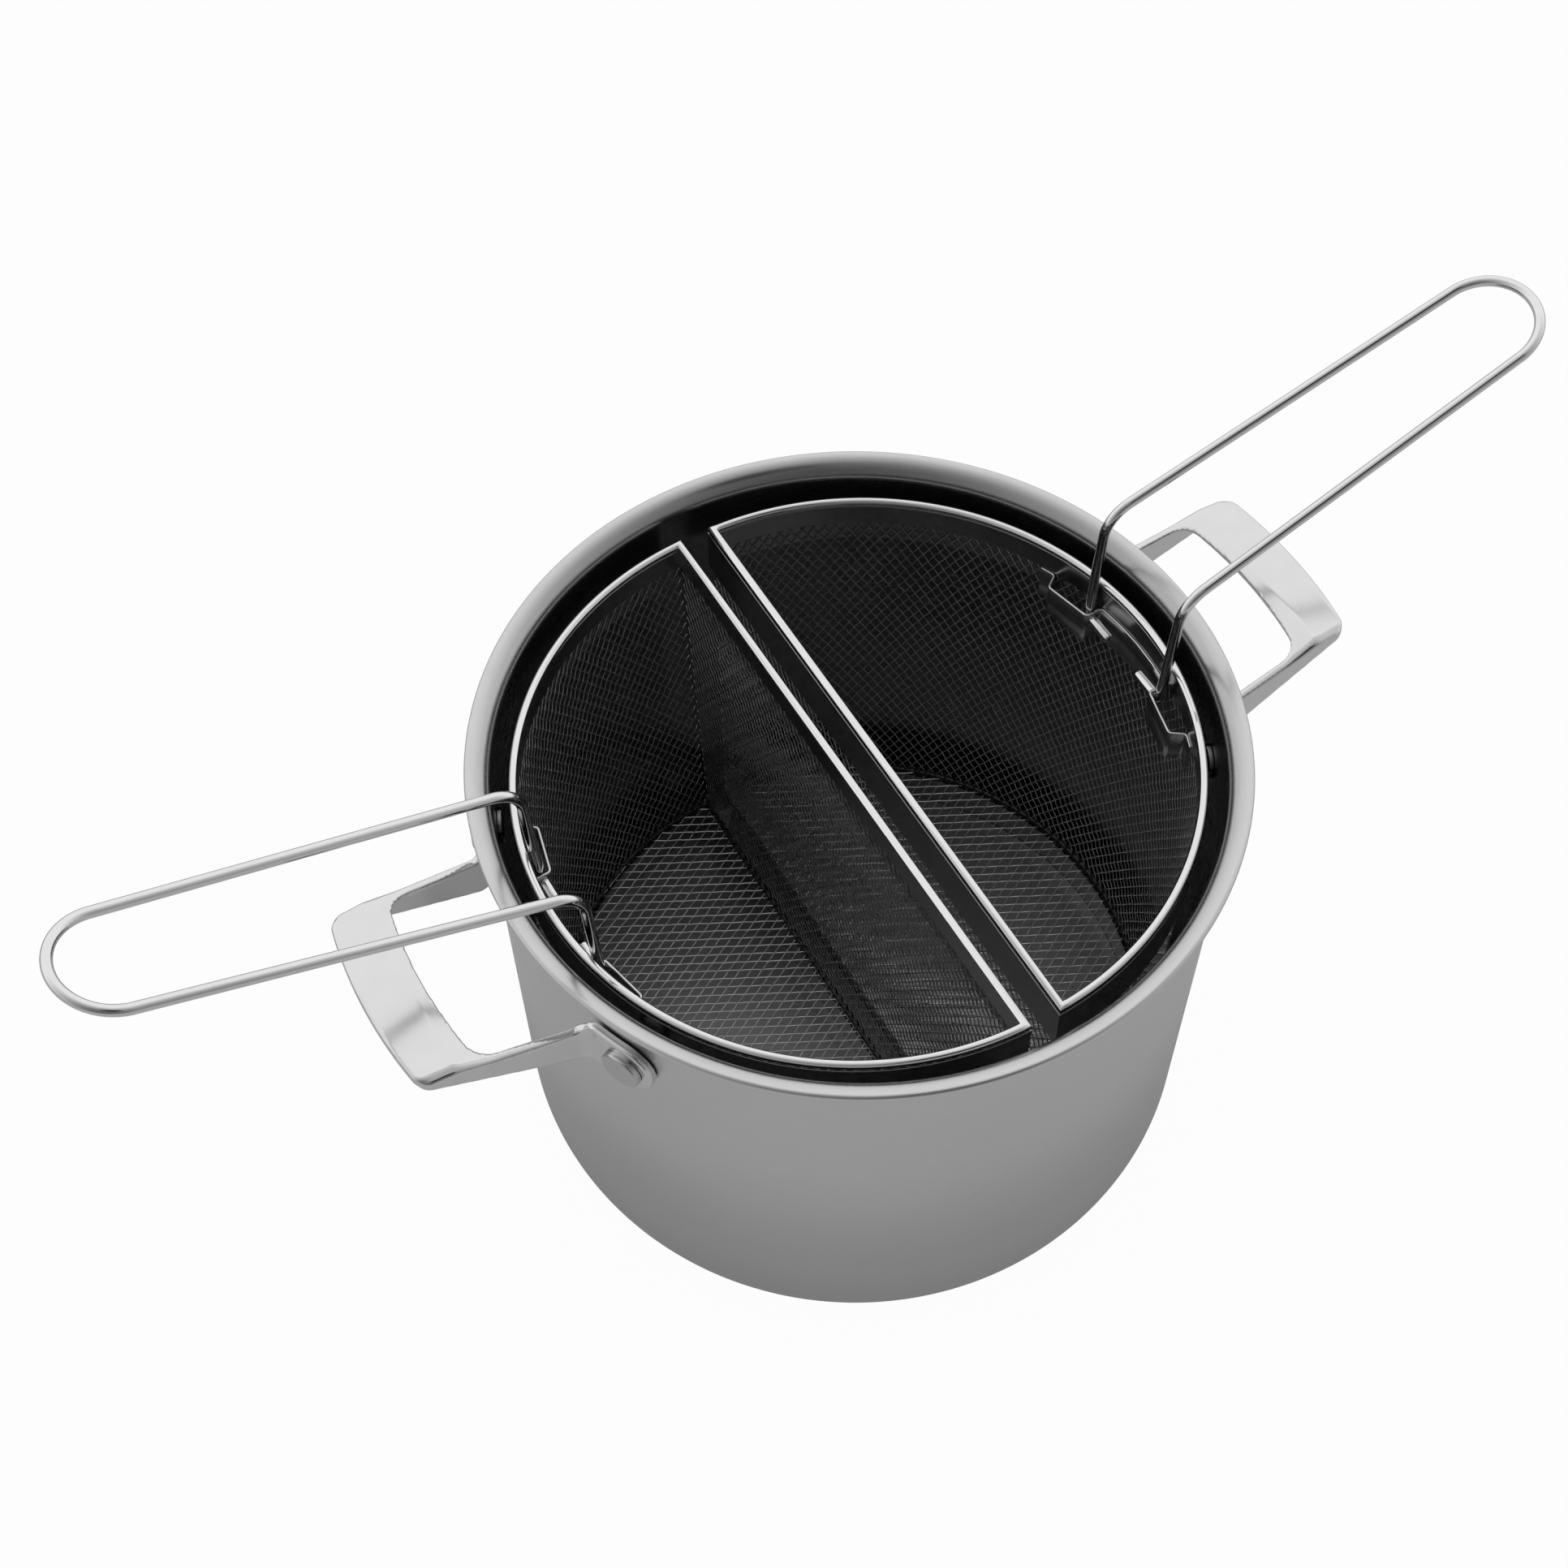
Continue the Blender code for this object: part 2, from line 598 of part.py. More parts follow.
def clipped(polygon, window):
    """The part of a convex polygon inside a convex window, both anticlockwise."""
    kept = list(polygon)
    for index, end in enumerate(window):
        start = Vector(window[index - 1])
        side = Vector(end) - start
        turned_side = Vector((-side.y, side.x)).normalized()
        depth = [turned_side.dot(point - start) for point in kept]
        inside = []
        for k, point in enumerate(kept):
            if (depth[k - 1] < 0) != (depth[k] < 0):
                share = depth[k - 1] / (depth[k - 1] - depth[k])
                inside.append(kept[k - 1].lerp(point, share))
            if depth[k] >= 0:
                inside.append(point)
        kept = inside
        if not kept:
            break
    return kept


def area(polygon):
    """The area of an anticlockwise polygon."""
    return sum(polygon[k - 1].cross(polygon[k]) for k in range(len(polygon))) / 2


def diamond(center, cell, share=1):
    """A diamond cell, anticlockwise."""
    across = Vector((cell[0] / 2 * share, 0))
    along = Vector((0, cell[1] / 2 * share))
    return [center + across, center + along, center - across, center - along]


def diamond_net(outline, opening, start, cell):
    """A flat net of diamonds that fills a convex outline, with a solid frame out to it."""
    half_across, half_along = cell[0] / 2, cell[1] / 2
    inradius = half_across * half_along / math.hypot(half_across, half_along)
    hole_share = 1 - NET_BAR / 2 / inradius
    low = Vector((min(p[0] for p in outline), min(p[1] for p in outline)))
    high = Vector((max(p[0] for p in outline), max(p[1] for p in outline)))
    columns = math.ceil((high.x - low.x) / half_across) + 1
    rows = math.ceil((high.y - low.y) / half_along) + 1
    mesh = bmesh.new()
    for column in range(-columns, columns + 1):
        for row in range(-rows, rows + 1):
            if (column + row) % 2 == 0:
                continue
            center = Vector(start) + Vector((column * half_across, row * half_along))
            outer = clipped(diamond(center, cell), outline)
            if len(outer) < 3 or area(outer) < GAP ** 2:
                continue
            hole = clipped(diamond(center, cell, hole_share), opening)
            loops = [outer, hole] if len(hole) > 2 and area(hole) > LEAST_HOLE else [outer]
            corners = [mesh.verts.new((p.x, p.y, 0)) for loop in loops for p in loop]
            for a, b, c in tessellate_polygon([[p.to_3d() for p in loop] for loop in loops]):
                mesh.faces.new((corners[a], corners[b], corners[c]))
    bmesh.ops.remove_doubles(mesh, verts=mesh.verts, dist=GAP / 100)
    bmesh.ops.dissolve_degenerate(mesh, edges=mesh.edges, dist=GAP / 100)
    bmesh.ops.recalc_face_normals(mesh, faces=mesh.faces)
    return mesh


def thickened(item):
    """Give a net its thickness, half to each side."""
    modifier = item.modifiers.new("thickness", "SOLIDIFY")
    modifier.thickness = NET_THICKNESS
    modifier.offset = 0
    modifier.use_even_offset = True


def rectangle(width, height, inset=0):
    """An upright rectangle about x = 0 that stands on y = 0, anticlockwise."""
    right, low, high = width / 2 - inset, inset, height - inset
    return [(-right, low), (right, low), (right, high), (-right, high)]


def wall_net(length):
    """A wall's net, still flat: its length along X and its height along Y."""
    height = BAND_TOP - NET_BOTTOM
    columns = round(length / WALL_CELL[0])
    rows = round(height / WALL_CELL[1])
    cell = (length / columns, height / rows)
    start = (-length / 2, 0)
    mesh = diamond_net(rectangle(length, height), rectangle(length, height, NET_FRAME), start, cell)
    for step in range(1, 2 * columns):
        fold = (step * cell[0] / 2 - length / 2, 0, 0)
        parts = mesh.verts[:] + mesh.edges[:] + mesh.faces[:]
        bmesh.ops.bisect_plane(mesh, geom=parts, dist=GAP / 100, plane_co=fold, plane_no=(1, 0, 0))
    return mesh


def lean(height):
    """How far down the slope between the outer band and the hem a height is, from 0 to 1."""
    return min(1, max(0, (OUTER_BAND_BOTTOM - height) / (OUTER_BAND_BOTTOM - NET_BOTTOM)))


def net_radius(height):
    """The radius of the curved net's middle at a height."""
    top = RIM_RADIUS + NET_OUTSET
    return top + (HEM_RADIUS - top) * lean(height)


def net_flat(height):
    """The place along X of the flat net's middle at a height."""
    top = RIM_FLAT - NET_FLAT_OUTSET
    return top + (HEM_FLAT - top) * lean(height)


def add_curved_net(name, parent, material):
    """The net along the basket's round wall, ending just short of the flat one."""
    length = math.pi * RIM_RADIUS
    mesh = wall_net(length)
    for corner in mesh.verts:
        share, height = corner.co.x / (length / 2), NET_BOTTOM + corner.co.y
        radius = net_radius(height)
        start = net_flat(height) + NET_THICKNESS + GAP - MOON_CENTER
        end = math.acos(start / (radius - NET_THICKNESS))
        corner.co = radial(share * end, radius, height) + Vector((MOON_CENTER, 0, 0))
    thickened(finished(mesh, name, material, parent))


def add_flat_net(name, parent, material):
    """The net along the basket's flat wall, between the ends of the curved one."""
    length = 2 * RIM_RADIUS
    mesh = wall_net(length)
    for corner in mesh.verts:
        share, height = corner.co.x / (length / 2), NET_BOTTOM + corner.co.y
        reach = net_radius(height) - NET_THICKNESS - GAP
        flat = net_flat(height)
        half = math.sqrt(reach ** 2 - (flat - MOON_CENTER) ** 2)
        corner.co = Vector((flat, share * half, height))
    thickened(finished(mesh, name, material, parent))


def add_floor_net(name, parent, material):
    """The net across the basket's bottom, inside the hem."""
    inset = HEM_THICKNESS / 2 + GAP
    radius, flat = HEM_RADIUS - inset, HEM_FLAT + inset
    outline = half_moon(radius, flat)
    opening = half_moon(radius - NET_FRAME, flat + NET_FRAME)
    mesh = diamond_net(outline, opening, (flat, 0), FLOOR_CELL)
    bmesh.ops.translate(mesh, verts=mesh.verts, vec=(0, 0, HEM_HEIGHT))
    thickened(finished(mesh, name, material, parent))


# Basket rim and bottom

def add_rim(name, parent, bright, satin):
    """The bead and the two bands under it."""
    moon = half_moon(RIM_RADIUS, RIM_FLAT)
    bead = circle((0, BEAD_HEIGHT), BEAD_RADIUS, BEAD_SIDES)
    finished(rail(moon, bead), name + "_rim_bead", bright, parent)
    outer = strip_section(OUTER_BAND_FACE - BAND_SHEET, OUTER_BAND_FACE, OUTER_BAND_BOTTOM, BAND_TOP)
    finished(rail(moon, outer), name + "_outer_band", satin, parent)
    inner = strip_section(INNER_BAND_FACE, INNER_BAND_FACE + BAND_SHEET, INNER_BAND_BOTTOM, BAND_TOP)
    finished(rail(moon, inner), name + "_inner_band", satin, parent)


def add_bottom(name, parent, dark, satin):
    """The crimped hem and the foot under it."""
    moon = half_moon(HEM_RADIUS, HEM_FLAT)
    hem = circle((0, HEM_HEIGHT), HEM_THICKNESS / 2, HEM_SIDES)
    finished(rail(moon, hem), name + "_bottom_hem", dark, parent)
    foot = strip_section(-FOOT_INSET - FOOT_SHEET, -FOOT_INSET, FOOT_BOTTOM, FOOT_TOP)
    finished(rail(moon, foot), name + "_foot_band", satin, parent)


# Handle bracket and wire handle

def bracket_path():
    """The strip's middle line, from one end tab to the other, every bend rounded."""
    def on_band(spread):
        return (MOON_CENTER + math.sqrt(BRACKET_RADIUS ** 2 - spread ** 2), spread)

    tab = LEG_SPREAD + TAB_BEND
    half = [on_band(SHOULDER_SPREAD / 2), on_band(SHOULDER_SPREAD), (PIVOT - POCKET_NEAR, SHOULDER_SPREAD)]
    half += [(PIVOT - POCKET_FAR, LEG_SPREAD + POCKET_LENGTH), on_band(tab), on_band(tab + TAB_LENGTH)]
    mirrored = [(x, -y) for x, y in reversed(half)]
    corners = [Vector(corner) for corner in mirrored + [on_band(0)] + half]
    route = bent(corners, [STRIP_BEND] * (len(corners) - 2), 2)
    return [(point.x, point.y) for point in route]


def add_bracket(name, parent, material):
    """The strip bent into two pockets, with a hole for a pin in each."""
    section = strip_section(-STRIP / 2, STRIP / 2, BRACKET_BOTTOM, BRACKET_TOP)
    bracket = finished(rail(bracket_path(), section, False), name + "_handle_bracket", material, parent)
    for side, place in ((1, "back"), (-1, "front")):
        cutter = cylinder_cutter(
            name + "_pin_hole_" + place, PIN_HOLE_RADIUS,
            (PIVOT, side * PIN_END, PIVOT_HEIGHT),
            (PIVOT, side * LEG_SPREAD, PIVOT_HEIGHT),
            parent,
        )
        combined(bracket, cutter, "DIFFERENCE")


def wire_route():
    """Half of the wire about its pivot, from the pin's end to the middle of the loop's end."""
    rise = Vector((math.sin(LEG_LEAN), 0, math.cos(LEG_LEAN)))
    out = Vector((math.cos(LOOP_RISE), 0, math.sin(LOOP_RISE)))
    aside = Vector((0, LEG_SPREAD, 0))
    shoulder = rise * (LEG_TOP - PIVOT_HEIGHT) / rise.z
    run = (LOOP_TIP - PIVOT - shoulder.x) / out.x - TIP_SPREAD
    tip_center = shoulder + out * run
    tip_aside = Vector((0, TIP_SPREAD, 0))
    route = bent(
        [Vector((0, PIN_END, 0)), aside, aside + shoulder, tip_aside + tip_center],
        [PIN_BEND, SHOULDER_BEND], 5,
    )
    steps = 8
    for step in range(1, steps + 1):
        turn = math.pi / 2 * step / steps
        route.append(tip_center + tip_aside * math.cos(turn) + out * TIP_SPREAD * math.sin(turn))
    return route


def add_wire_handle(name, parent, material):
    """The wire handle, with its origin on the line of its pins."""
    half = wire_route()
    mirrored = [Vector((point.x, -point.y, point.z)) for point in reversed(half[:-1])]
    route = half + mirrored
    data = bpy.data.curves.new(name, "CURVE")
    data.dimensions = "3D"
    data.bevel_depth = WIRE_RADIUS
    data.bevel_resolution = WIRE_STEPS
    data.use_fill_caps = True
    spline = data.splines.new("POLY")
    spline.points.add(len(route) - 1)
    for point, place in zip(spline.points, route):
        point.co = (*place, 1)
    data.materials.append(material)
    placed(data, name, parent, (PIVOT, 0, PIVOT_HEIGHT))


def add_basket(name, turn, bright, satin, dark):
    """One basket, carried by a frame on the pot's axis."""
    frame = placed(None, name)
    frame.rotation_euler.z = turn
    add_rim(name, frame, bright, satin)
    add_bottom(name, frame, dark, satin)
    add_curved_net(name + "_curved_net", frame, dark)
    add_flat_net(name + "_flat_net", frame, dark)
    add_floor_net(name + "_floor_net", frame, dark)
    add_bracket(name, frame, bright)
    add_wire_handle(name + "_wire_handle", frame, bright)


def build():
    """Make the whole pasta pot."""
    clear_scene()
    satin = metal("satin_steel", 0.55, 0.35)
    bright = metal("polished_steel", 0.75, 0.12)
    cast = metal("cast_steel", 0.7, 0.25)
    dark = metal("mesh_steel", 0.35, 0.4)
    add_pot(satin)
    add_side_handle("side_handle_right", 0, cast)
    add_side_handle("side_handle_left", math.pi, cast)
    add_rivets(cast)
    add_basket("basket_right", 0, bright, satin, dark)
    add_basket("basket_left", math.pi, bright, satin, dark)


build()
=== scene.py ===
"""The looks of the pasta pot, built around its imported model. Lengths are in metres."""
import math

import bmesh
import bpy
from mathutils import Matrix, Vector


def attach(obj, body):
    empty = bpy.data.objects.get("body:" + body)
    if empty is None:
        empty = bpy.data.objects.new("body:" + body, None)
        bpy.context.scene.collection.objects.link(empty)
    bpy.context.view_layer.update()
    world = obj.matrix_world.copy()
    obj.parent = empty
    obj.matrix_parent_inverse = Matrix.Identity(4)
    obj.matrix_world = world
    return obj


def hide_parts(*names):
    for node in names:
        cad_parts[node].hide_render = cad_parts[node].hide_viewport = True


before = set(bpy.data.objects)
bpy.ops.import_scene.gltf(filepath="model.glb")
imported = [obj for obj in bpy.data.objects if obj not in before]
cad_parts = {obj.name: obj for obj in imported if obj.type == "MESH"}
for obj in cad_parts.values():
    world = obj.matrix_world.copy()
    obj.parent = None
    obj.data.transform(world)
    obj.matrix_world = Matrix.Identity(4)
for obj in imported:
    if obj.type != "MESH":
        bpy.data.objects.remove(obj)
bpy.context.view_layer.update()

# Fit between pieces that touch
GAP = 0.0003

# Pot body, as in the model
POT_HEIGHT = 0.188
WALL_RADIUS = 0.1226
WALL = 0.0027
LIP_REACH = 0.0054
FLARE_LEAN = math.radians(86)  # the photo's lip is rolled nearly flat, which the model has as a plain flare
POLISHED_TURN = math.radians(55)  # how far round the lip's edge the inside's polish goes
BASE_SWEEP = 0.0308
BASE_EDGE = 0.0075
BASE_TURN = math.radians(45)
INNER_RADIUS = WALL_RADIUS - WALL
LIP_RADIUS = WALL_RADIUS + LIP_REACH

# Cast side handles, as in the model
TAB_THICKNESS = 0.0034
TAB_RADIUS = 0.0108
RIVET_SPREAD = 0.050
RIVET_DROP = 0.0285
RIVET_HEIGHT = POT_HEIGHT - RIVET_DROP
ARM_THICKNESS = 0.0034
ARM_ROOT_SPREAD = 0.0359
ARM_GRIP_SPREAD = 0.033
ARM_BEND_RUN = 0.0045
ARM_HEEL = 0.0007
ARM_DIP = 0.0043
ARM_KEEL = 0.0015
GRIP_LIFT = 0.0153
GRIP_TOP = RIVET_HEIGHT + GRIP_LIFT
GRIP_THICKNESS = 0.0042
HANDLE_REACH = 0.0522
GRIP_WIDTH = 0.0195
GRIP_OUTER = WALL_RADIUS + HANDLE_REACH
GRIP_INNER = GRIP_OUTER - GRIP_WIDTH
GRIP_BOW = 0.0032
GRIP_OUTER_CORNER = 0.005
GRIP_INNER_CORNER = 0.0072
GRIP_EDGE = 0.0011
GRIP_TAIL = 0.008
GRIP_TURN = 0.007
KNEE_RUN = 0.005
KNEE_DROP = 0.0037

# Fineness of the round shapes
POT_STEPS = 288
PROFILE_STEPS = 16
MOON_STEPS = 144
BEND_STEPS = 8
TAB_STEPS = 16
TAB_RUN_STEPS = 5
ARM_STEPS = 20
CORNER_STEPS = 5
GRIP_CORNER_STEPS = 8
BOW_STEPS = 10  # for half of the grip's length, the last two left to its corners
RIVET_STEPS = 48
RIVET_EDGE_STEPS = 6
BEAD_SIDES = 20
WIRE_SIDES = 24
WIRE_BEND_STEPS = 16
HEM_SIDES = 12
BINDING_SIDES = 5
BINDING_STEPS = 8  # for each turn round the hem
STRIP_BEND_STEPS = 6
PIN_HOLE_SIDES = 32

# Soft edges of the casting, which the model has as plain cuts
ARM_EDGE = 0.0005
SHOULDER_WIDTH = 0.0023  # how far the arm's top rounds over to its outer face
SHOULDER_DROP = 0.0013
CREASE = 0.0004  # depth of the arm's top below the grip's, where their crease is
MELT = 0.0004  # size of the cells in which the casting is melted into one skin
SOFTENING = 22  # how many times that skin is smoothed
SOFTENING_SHARE = 0.5
EDGE_STEPS = 5

# Rivets, as in the model
SHANK_RADIUS = 0.003
HEAD_RADIUS = 0.0072
HEAD_FACE_RADIUS = 0.0062
HEAD_THICKNESS = 0.0021
INNER_HEAD_RADIUS = 0.006
INNER_HEAD_THICKNESS = 0.0016

# Basket rim and bottom, as in the model
MOON_CENTER = 0.003
BEAD_RADIUS = 0.0015
BEAD_DROP = 0.0093
BEAD_HEIGHT = POT_HEIGHT - BEAD_DROP
RIM_CLEARANCE = 0.0065
RIM_RADIUS = INNER_RADIUS - MOON_CENTER - RIM_CLEARANCE
RIM_FLAT = 0.0065
BAND_SHEET = 0.0004
BAND_TOP = BEAD_HEIGHT - BEAD_RADIUS - GAP
OUTER_BAND = 0.0189  # height of the outer band
INNER_BAND = 0.0089
OUTER_BAND_BOTTOM = BAND_TOP - OUTER_BAND
INNER_BAND_BOTTOM = BAND_TOP - INNER_BAND
OUTER_BAND_FACE = 0.00135
INNER_BAND_FACE = -0.0008
HEM_INSET = 0.0029
HEM_OUTSET = 0.0023
HEM_RADIUS = RIM_RADIUS - HEM_INSET
HEM_FLAT = RIM_FLAT - HEM_OUTSET
HEM_THICKNESS = 0.003
FOOT_HEIGHT = 0.0144
FOOT_TOP = WALL + GAP + FOOT_HEIGHT
HEM_HEIGHT = FOOT_TOP + HEM_THICKNESS / 2 - GAP / 3
FOOT_SHEET = 0.0006
FOOT_INSET = 0.0012
BINDING_RADIUS = 0.0005  # fine wire around the hem, which the model has as one plain bar
BINDING_PITCH = 0.0042

# Nets, woven here wire by wire where the model has plain sheets with large diamonds
NET_BOTTOM = HEM_HEIGHT + HEM_THICKNESS / 2 + GAP
NET_TUCK = 0.001  # how far the nets run down into the hem
NET_THICKNESS = 0.0006
NET_OUTSET = 0.00045
NET_FLAT_OUTSET = 0.0001
WALL_THREAD = 0.00026
FLOOR_THREAD = 0.0003
THREAD_CRIMP = 0.00018
WALL_DIAMOND = (0.0041, 0.0063)
FLOOR_DIAMOND = (0.0077, 0.00406)
SHORTEST_THREAD = 0.5  # in half diamonds, and shorter ones are left out
MARK_CLEARANCE = 0.3  # least gap between a thread's end and its next mark, in gaps between marks

# Wire handle, as in the model
WIRE_RADIUS = 0.0018
LEG_SPREAD = 0.0216
LEG_TAPER = 0.0042
TIP_SPREAD = LEG_SPREAD - LEG_TAPER
PIN_LENGTH = 0.0131
PIN_END = LEG_SPREAD - PIN_LENGTH
PIN_CLEARANCE = 0.0002
PIN_HOLE_RADIUS = WIRE_RADIUS + PIN_CLEARANCE
LEG_LEAN = math.radians(2.6)
LEG_RISE = 0.0354
LEG_TOP = BEAD_HEIGHT + LEG_RISE
LOOP_RISE = math.radians(18)
LOOP_REACH = 0.1444
LOOP_TIP = RIM_RADIUS + LOOP_REACH
PIN_BEND = 0.0025
SHOULDER_BEND = 0.013
BEAD_LINE = RIM_RADIUS - BEAD_RADIUS - GAP - WIRE_RADIUS
LEG_AT_BEAD = MOON_CENTER + math.sqrt(BEAD_LINE ** 2 - LEG_SPREAD ** 2)

# Handle bracket, as in the model
STRIP = 0.0009
BRACKET_TOP = INNER_BAND_BOTTOM - GAP
BRACKET_DEPTH = 0.014
BRACKET_BOTTOM = BRACKET_TOP - BRACKET_DEPTH
BRACKET_RADIUS = RIM_RADIUS + NET_OUTSET - NET_THICKNESS / 2 - 2 * GAP - STRIP / 2
STRIP_BEND = 0.0015
SHOULDER_SPREAD = LEG_SPREAD - WIRE_RADIUS - GAP - STRIP / 2
PIN_DROP = 0.0037
PIVOT_HEIGHT = BRACKET_TOP - PIN_DROP
PIVOT = LEG_AT_BEAD - (BEAD_HEIGHT - PIVOT_HEIGHT) * math.tan(LEG_LEAN)
POCKET_NEAR = 0.0027
POCKET_FAR = 0.0068
POCKET_LENGTH = 0.0148
TAB_BEND = 0.0183
TAB_LENGTH = 0.005

# The photo's camera
CAMERA_PLACE = (-0.2348, -0.3744, 0.8117)
CAMERA_RIGHT = (0.86713964, -0.49794273, -0.01103983)
CAMERA_UP = (0.41662358, 0.71302393, 0.56393411)
CAMERA_LENS = 54.04
CAMERA_SENSOR = 36
CAMERA_NEAR = 0.01
CAMERA_FAR = 50

# Studio: a direction is a turn about Z and a rise over the floor
LAMPS = {  # place, size and power
    "key_light": ((-0.6, 0.2, 3.2), 2.4, 30),
    "fill_light": ((2.2, -1.4, 2.0), 2.0, 12),
}
SKY_LEVEL = 0.55  # of the light on the object, where the camera and the metal see 1
FLOOR_SIZE = 6
FLOOR_GREY = 0.48
FLOOR_ROUGHNESS = 0.9
FLOOR_WHITE = 0.97  # share of plain white in the floor that the camera sees
MIRROR_WHITE = 0.1  # the same in the floor that the metal mirrors
STAND_TURN = math.radians(-87)  # where the dark camera stand is seen in the metal
STAND_RISE = math.radians(52)
STAND_SIZE = math.radians(11)
STAND_EDGE = (1.3, 0.8)  # where the stand's soft edge starts and ends, in shares of its size
STAND_LEVEL = 0.03
DARK_TURN = math.radians(-110)  # the unlit side behind the camera, as the metal mirrors it
DARK_RISE = math.radians(20)
DARK_SPAN = (-0.1, 1)  # from where the dimming starts to where it is full, as a view direction's facing
DARK_DEPTH = 0.87


# Points, faces and objects

def arc(center, radius, start, end, steps):
    """Points along a circular arc, both ends included."""
    turns = [start + (end - start) * step / steps for step in range(steps + 1)]
    return [(center[0] + radius * math.cos(a), center[1] + radius * math.sin(a)) for a in turns]


def circle(center, radius, sides):
    """Points of a closed circle."""
    return arc(center, radius, 0, 2 * math.pi, sides)[:-1]


def radial(angle, radius, height):
    """A point at a radius from the pot's axis."""
    return Vector((radius * math.cos(angle), radius * math.sin(angle), height))


def placed(name, data):
    """A new object in the scene."""
    item = bpy.data.objects.new(name, data)
    bpy.context.scene.collection.objects.link(item)
    return item


def shown(name, points, faces, material, sharp=35):
    """An object from points and faces, shaded smooth where it bends by less than sharp degrees."""
    data = bpy.data.meshes.new(name)
    data.from_pydata([tuple(p) for p in points], [], faces)
    data.validate()
    data.shade_smooth()
    data.set_sharp_from_angle(angle=math.radians(sharp))
    data.materials.append(material)
    return placed(name, data)


def skin(rings, closed=False):
    """Points and faces of rings of corners joined in order, capped at both ends if not closed."""
    count = len(rings[0])
    points = [corner for ring in rings for corner in ring]
    pairs = [(k, k + 1) for k in range(len(rings) - 1)]
    if closed:
        pairs.append((len(rings) - 1, 0))
    faces = []
    for one, other in pairs:
        for k in range(count):
            near, far, following = one * count, other * count, (k + 1) % count
            faces.append((near + k, near + following, far + following, far + k))
    if not closed:
        faces.append(tuple(reversed(range(count))))
        faces.append(tuple((len(rings) - 1) * count + k for k in range(count)))
    return points, faces


def facing_out(item):
    """Turn every face of the item outwards."""
    mesh = bmesh.new()
    mesh.from_mesh(item.data)
    bmesh.ops.recalc_face_normals(mesh, faces=mesh.faces)
    mesh.to_mesh(item.data)
    mesh.free()
    return item


def lathe(profile, steps):
    """Points and faces of a body turned about Z from (radius, height) points that start and end on it."""
    inner = profile[1:-1]
    rings = []
    for step in range(steps):
        angle = 2 * math.pi * step / steps
        rings.append([radial(angle, radius, height) for radius, height in inner])
    count = len(inner)
    points = [corner for ring in rings for corner in ring]
    faces = []
    for step in range(steps):
        near, far = step * count, (step + 1) % steps * count
        for k in range(count - 1):
            faces.append((near + k, far + k, far + k + 1, near + k + 1))
    first, last = len(points), len(points) + 1
    points += [Vector((0, 0, profile[0][1])), Vector((0, 0, profile[-1][1]))]
    for step in range(steps):
        other = (step + 1) % steps
        faces.append((first, other * count, step * count))
        faces.append((last, step * count + count - 1, other * count + count - 1))
    return points, faces


def outward(path, index, closed):
    """The mitred outward direction at a corner of a level path that runs anticlockwise."""
    count = len(path)
    normals = []
    for first in (index - 1, index):
        if not closed and not 0 <= first < count - 1:
            continue
        one = Vector(path[first % count])
        other = Vector(path[(first + 1) % count])
        along = (other - one).normalized()
        normals.append(Vector((along.y, -along.x)))
    if len(normals) == 1:
        return normals[0]
    return (normals[0] + normals[1]) / (1 + normals[0].dot(normals[1]))


def rail(path, section, closed=True):
    """Points and faces of a section of (outward, height) points carried along a level path."""
    rings = []
    for index, point in enumerate(path):
        out = outward(path, index, closed)
        rings.append([Vector((point[0] + out.x * o, point[1] + out.y * o, h)) for o, h in section])
    return skin(rings, closed)


def half_moon(radius, flat):
    """A half-moon outline, anticlockwise: an arc closed by a straight side."""
    end = math.acos((flat - MOON_CENTER) / radius)
    return arc((MOON_CENTER, 0), radius, -end, end, MOON_STEPS)


def fillet(before, corner, after, radius):
    """The arc that rounds a corner between two points: center, arms to its ends, half the corner's angle."""
    before, after = (before - corner).normalized(), (after - corner).normalized()
    half = before.angle(after) / 2
    center = corner + (before + after).normalized() * radius / math.sin(half)
    start = corner + before * radius / math.tan(half) - center
    end = corner + after * radius / math.tan(half) - center
    return center, start, end, half


def bent(points, radii, steps):
    """A route through the points, each inner corner turned into an arc of its radius."""
    route = [points[0]]
    for before, corner, after, radius in zip(points, points[1:], points[2:], radii):
        center, start, end, half = fillet(before, corner, after, radius)
        turn = math.pi - 2 * half
        for step in range(steps + 1):
            share = step / steps
            arm = start * math.sin((1 - share) * turn) + end * math.sin(share * turn)
            route.append(center + arm / math.sin(turn))
    route.append(points[-1])
    return route


def tube(route, radii, sides):
    """Points and faces of a round wire along a route, with a radius for each point."""
    rings = []
    across = None
    for index, point in enumerate(route):
        before = route[max(index - 1, 0)]
        after = route[min(index + 1, len(route) - 1)]
        along = (after - before).normalized()
        if across is None:
            across = along.orthogonal().normalized()
        across = (across - along * across.dot(along)).normalized()
        up = along.cross(across)
        turns = [2 * math.pi * side / sides for side in range(sides)]
        rings.append([point + (across * math.cos(a) + up * math.sin(a)) * radii[index] for a in turns])
    return skin(rings)


# Materials

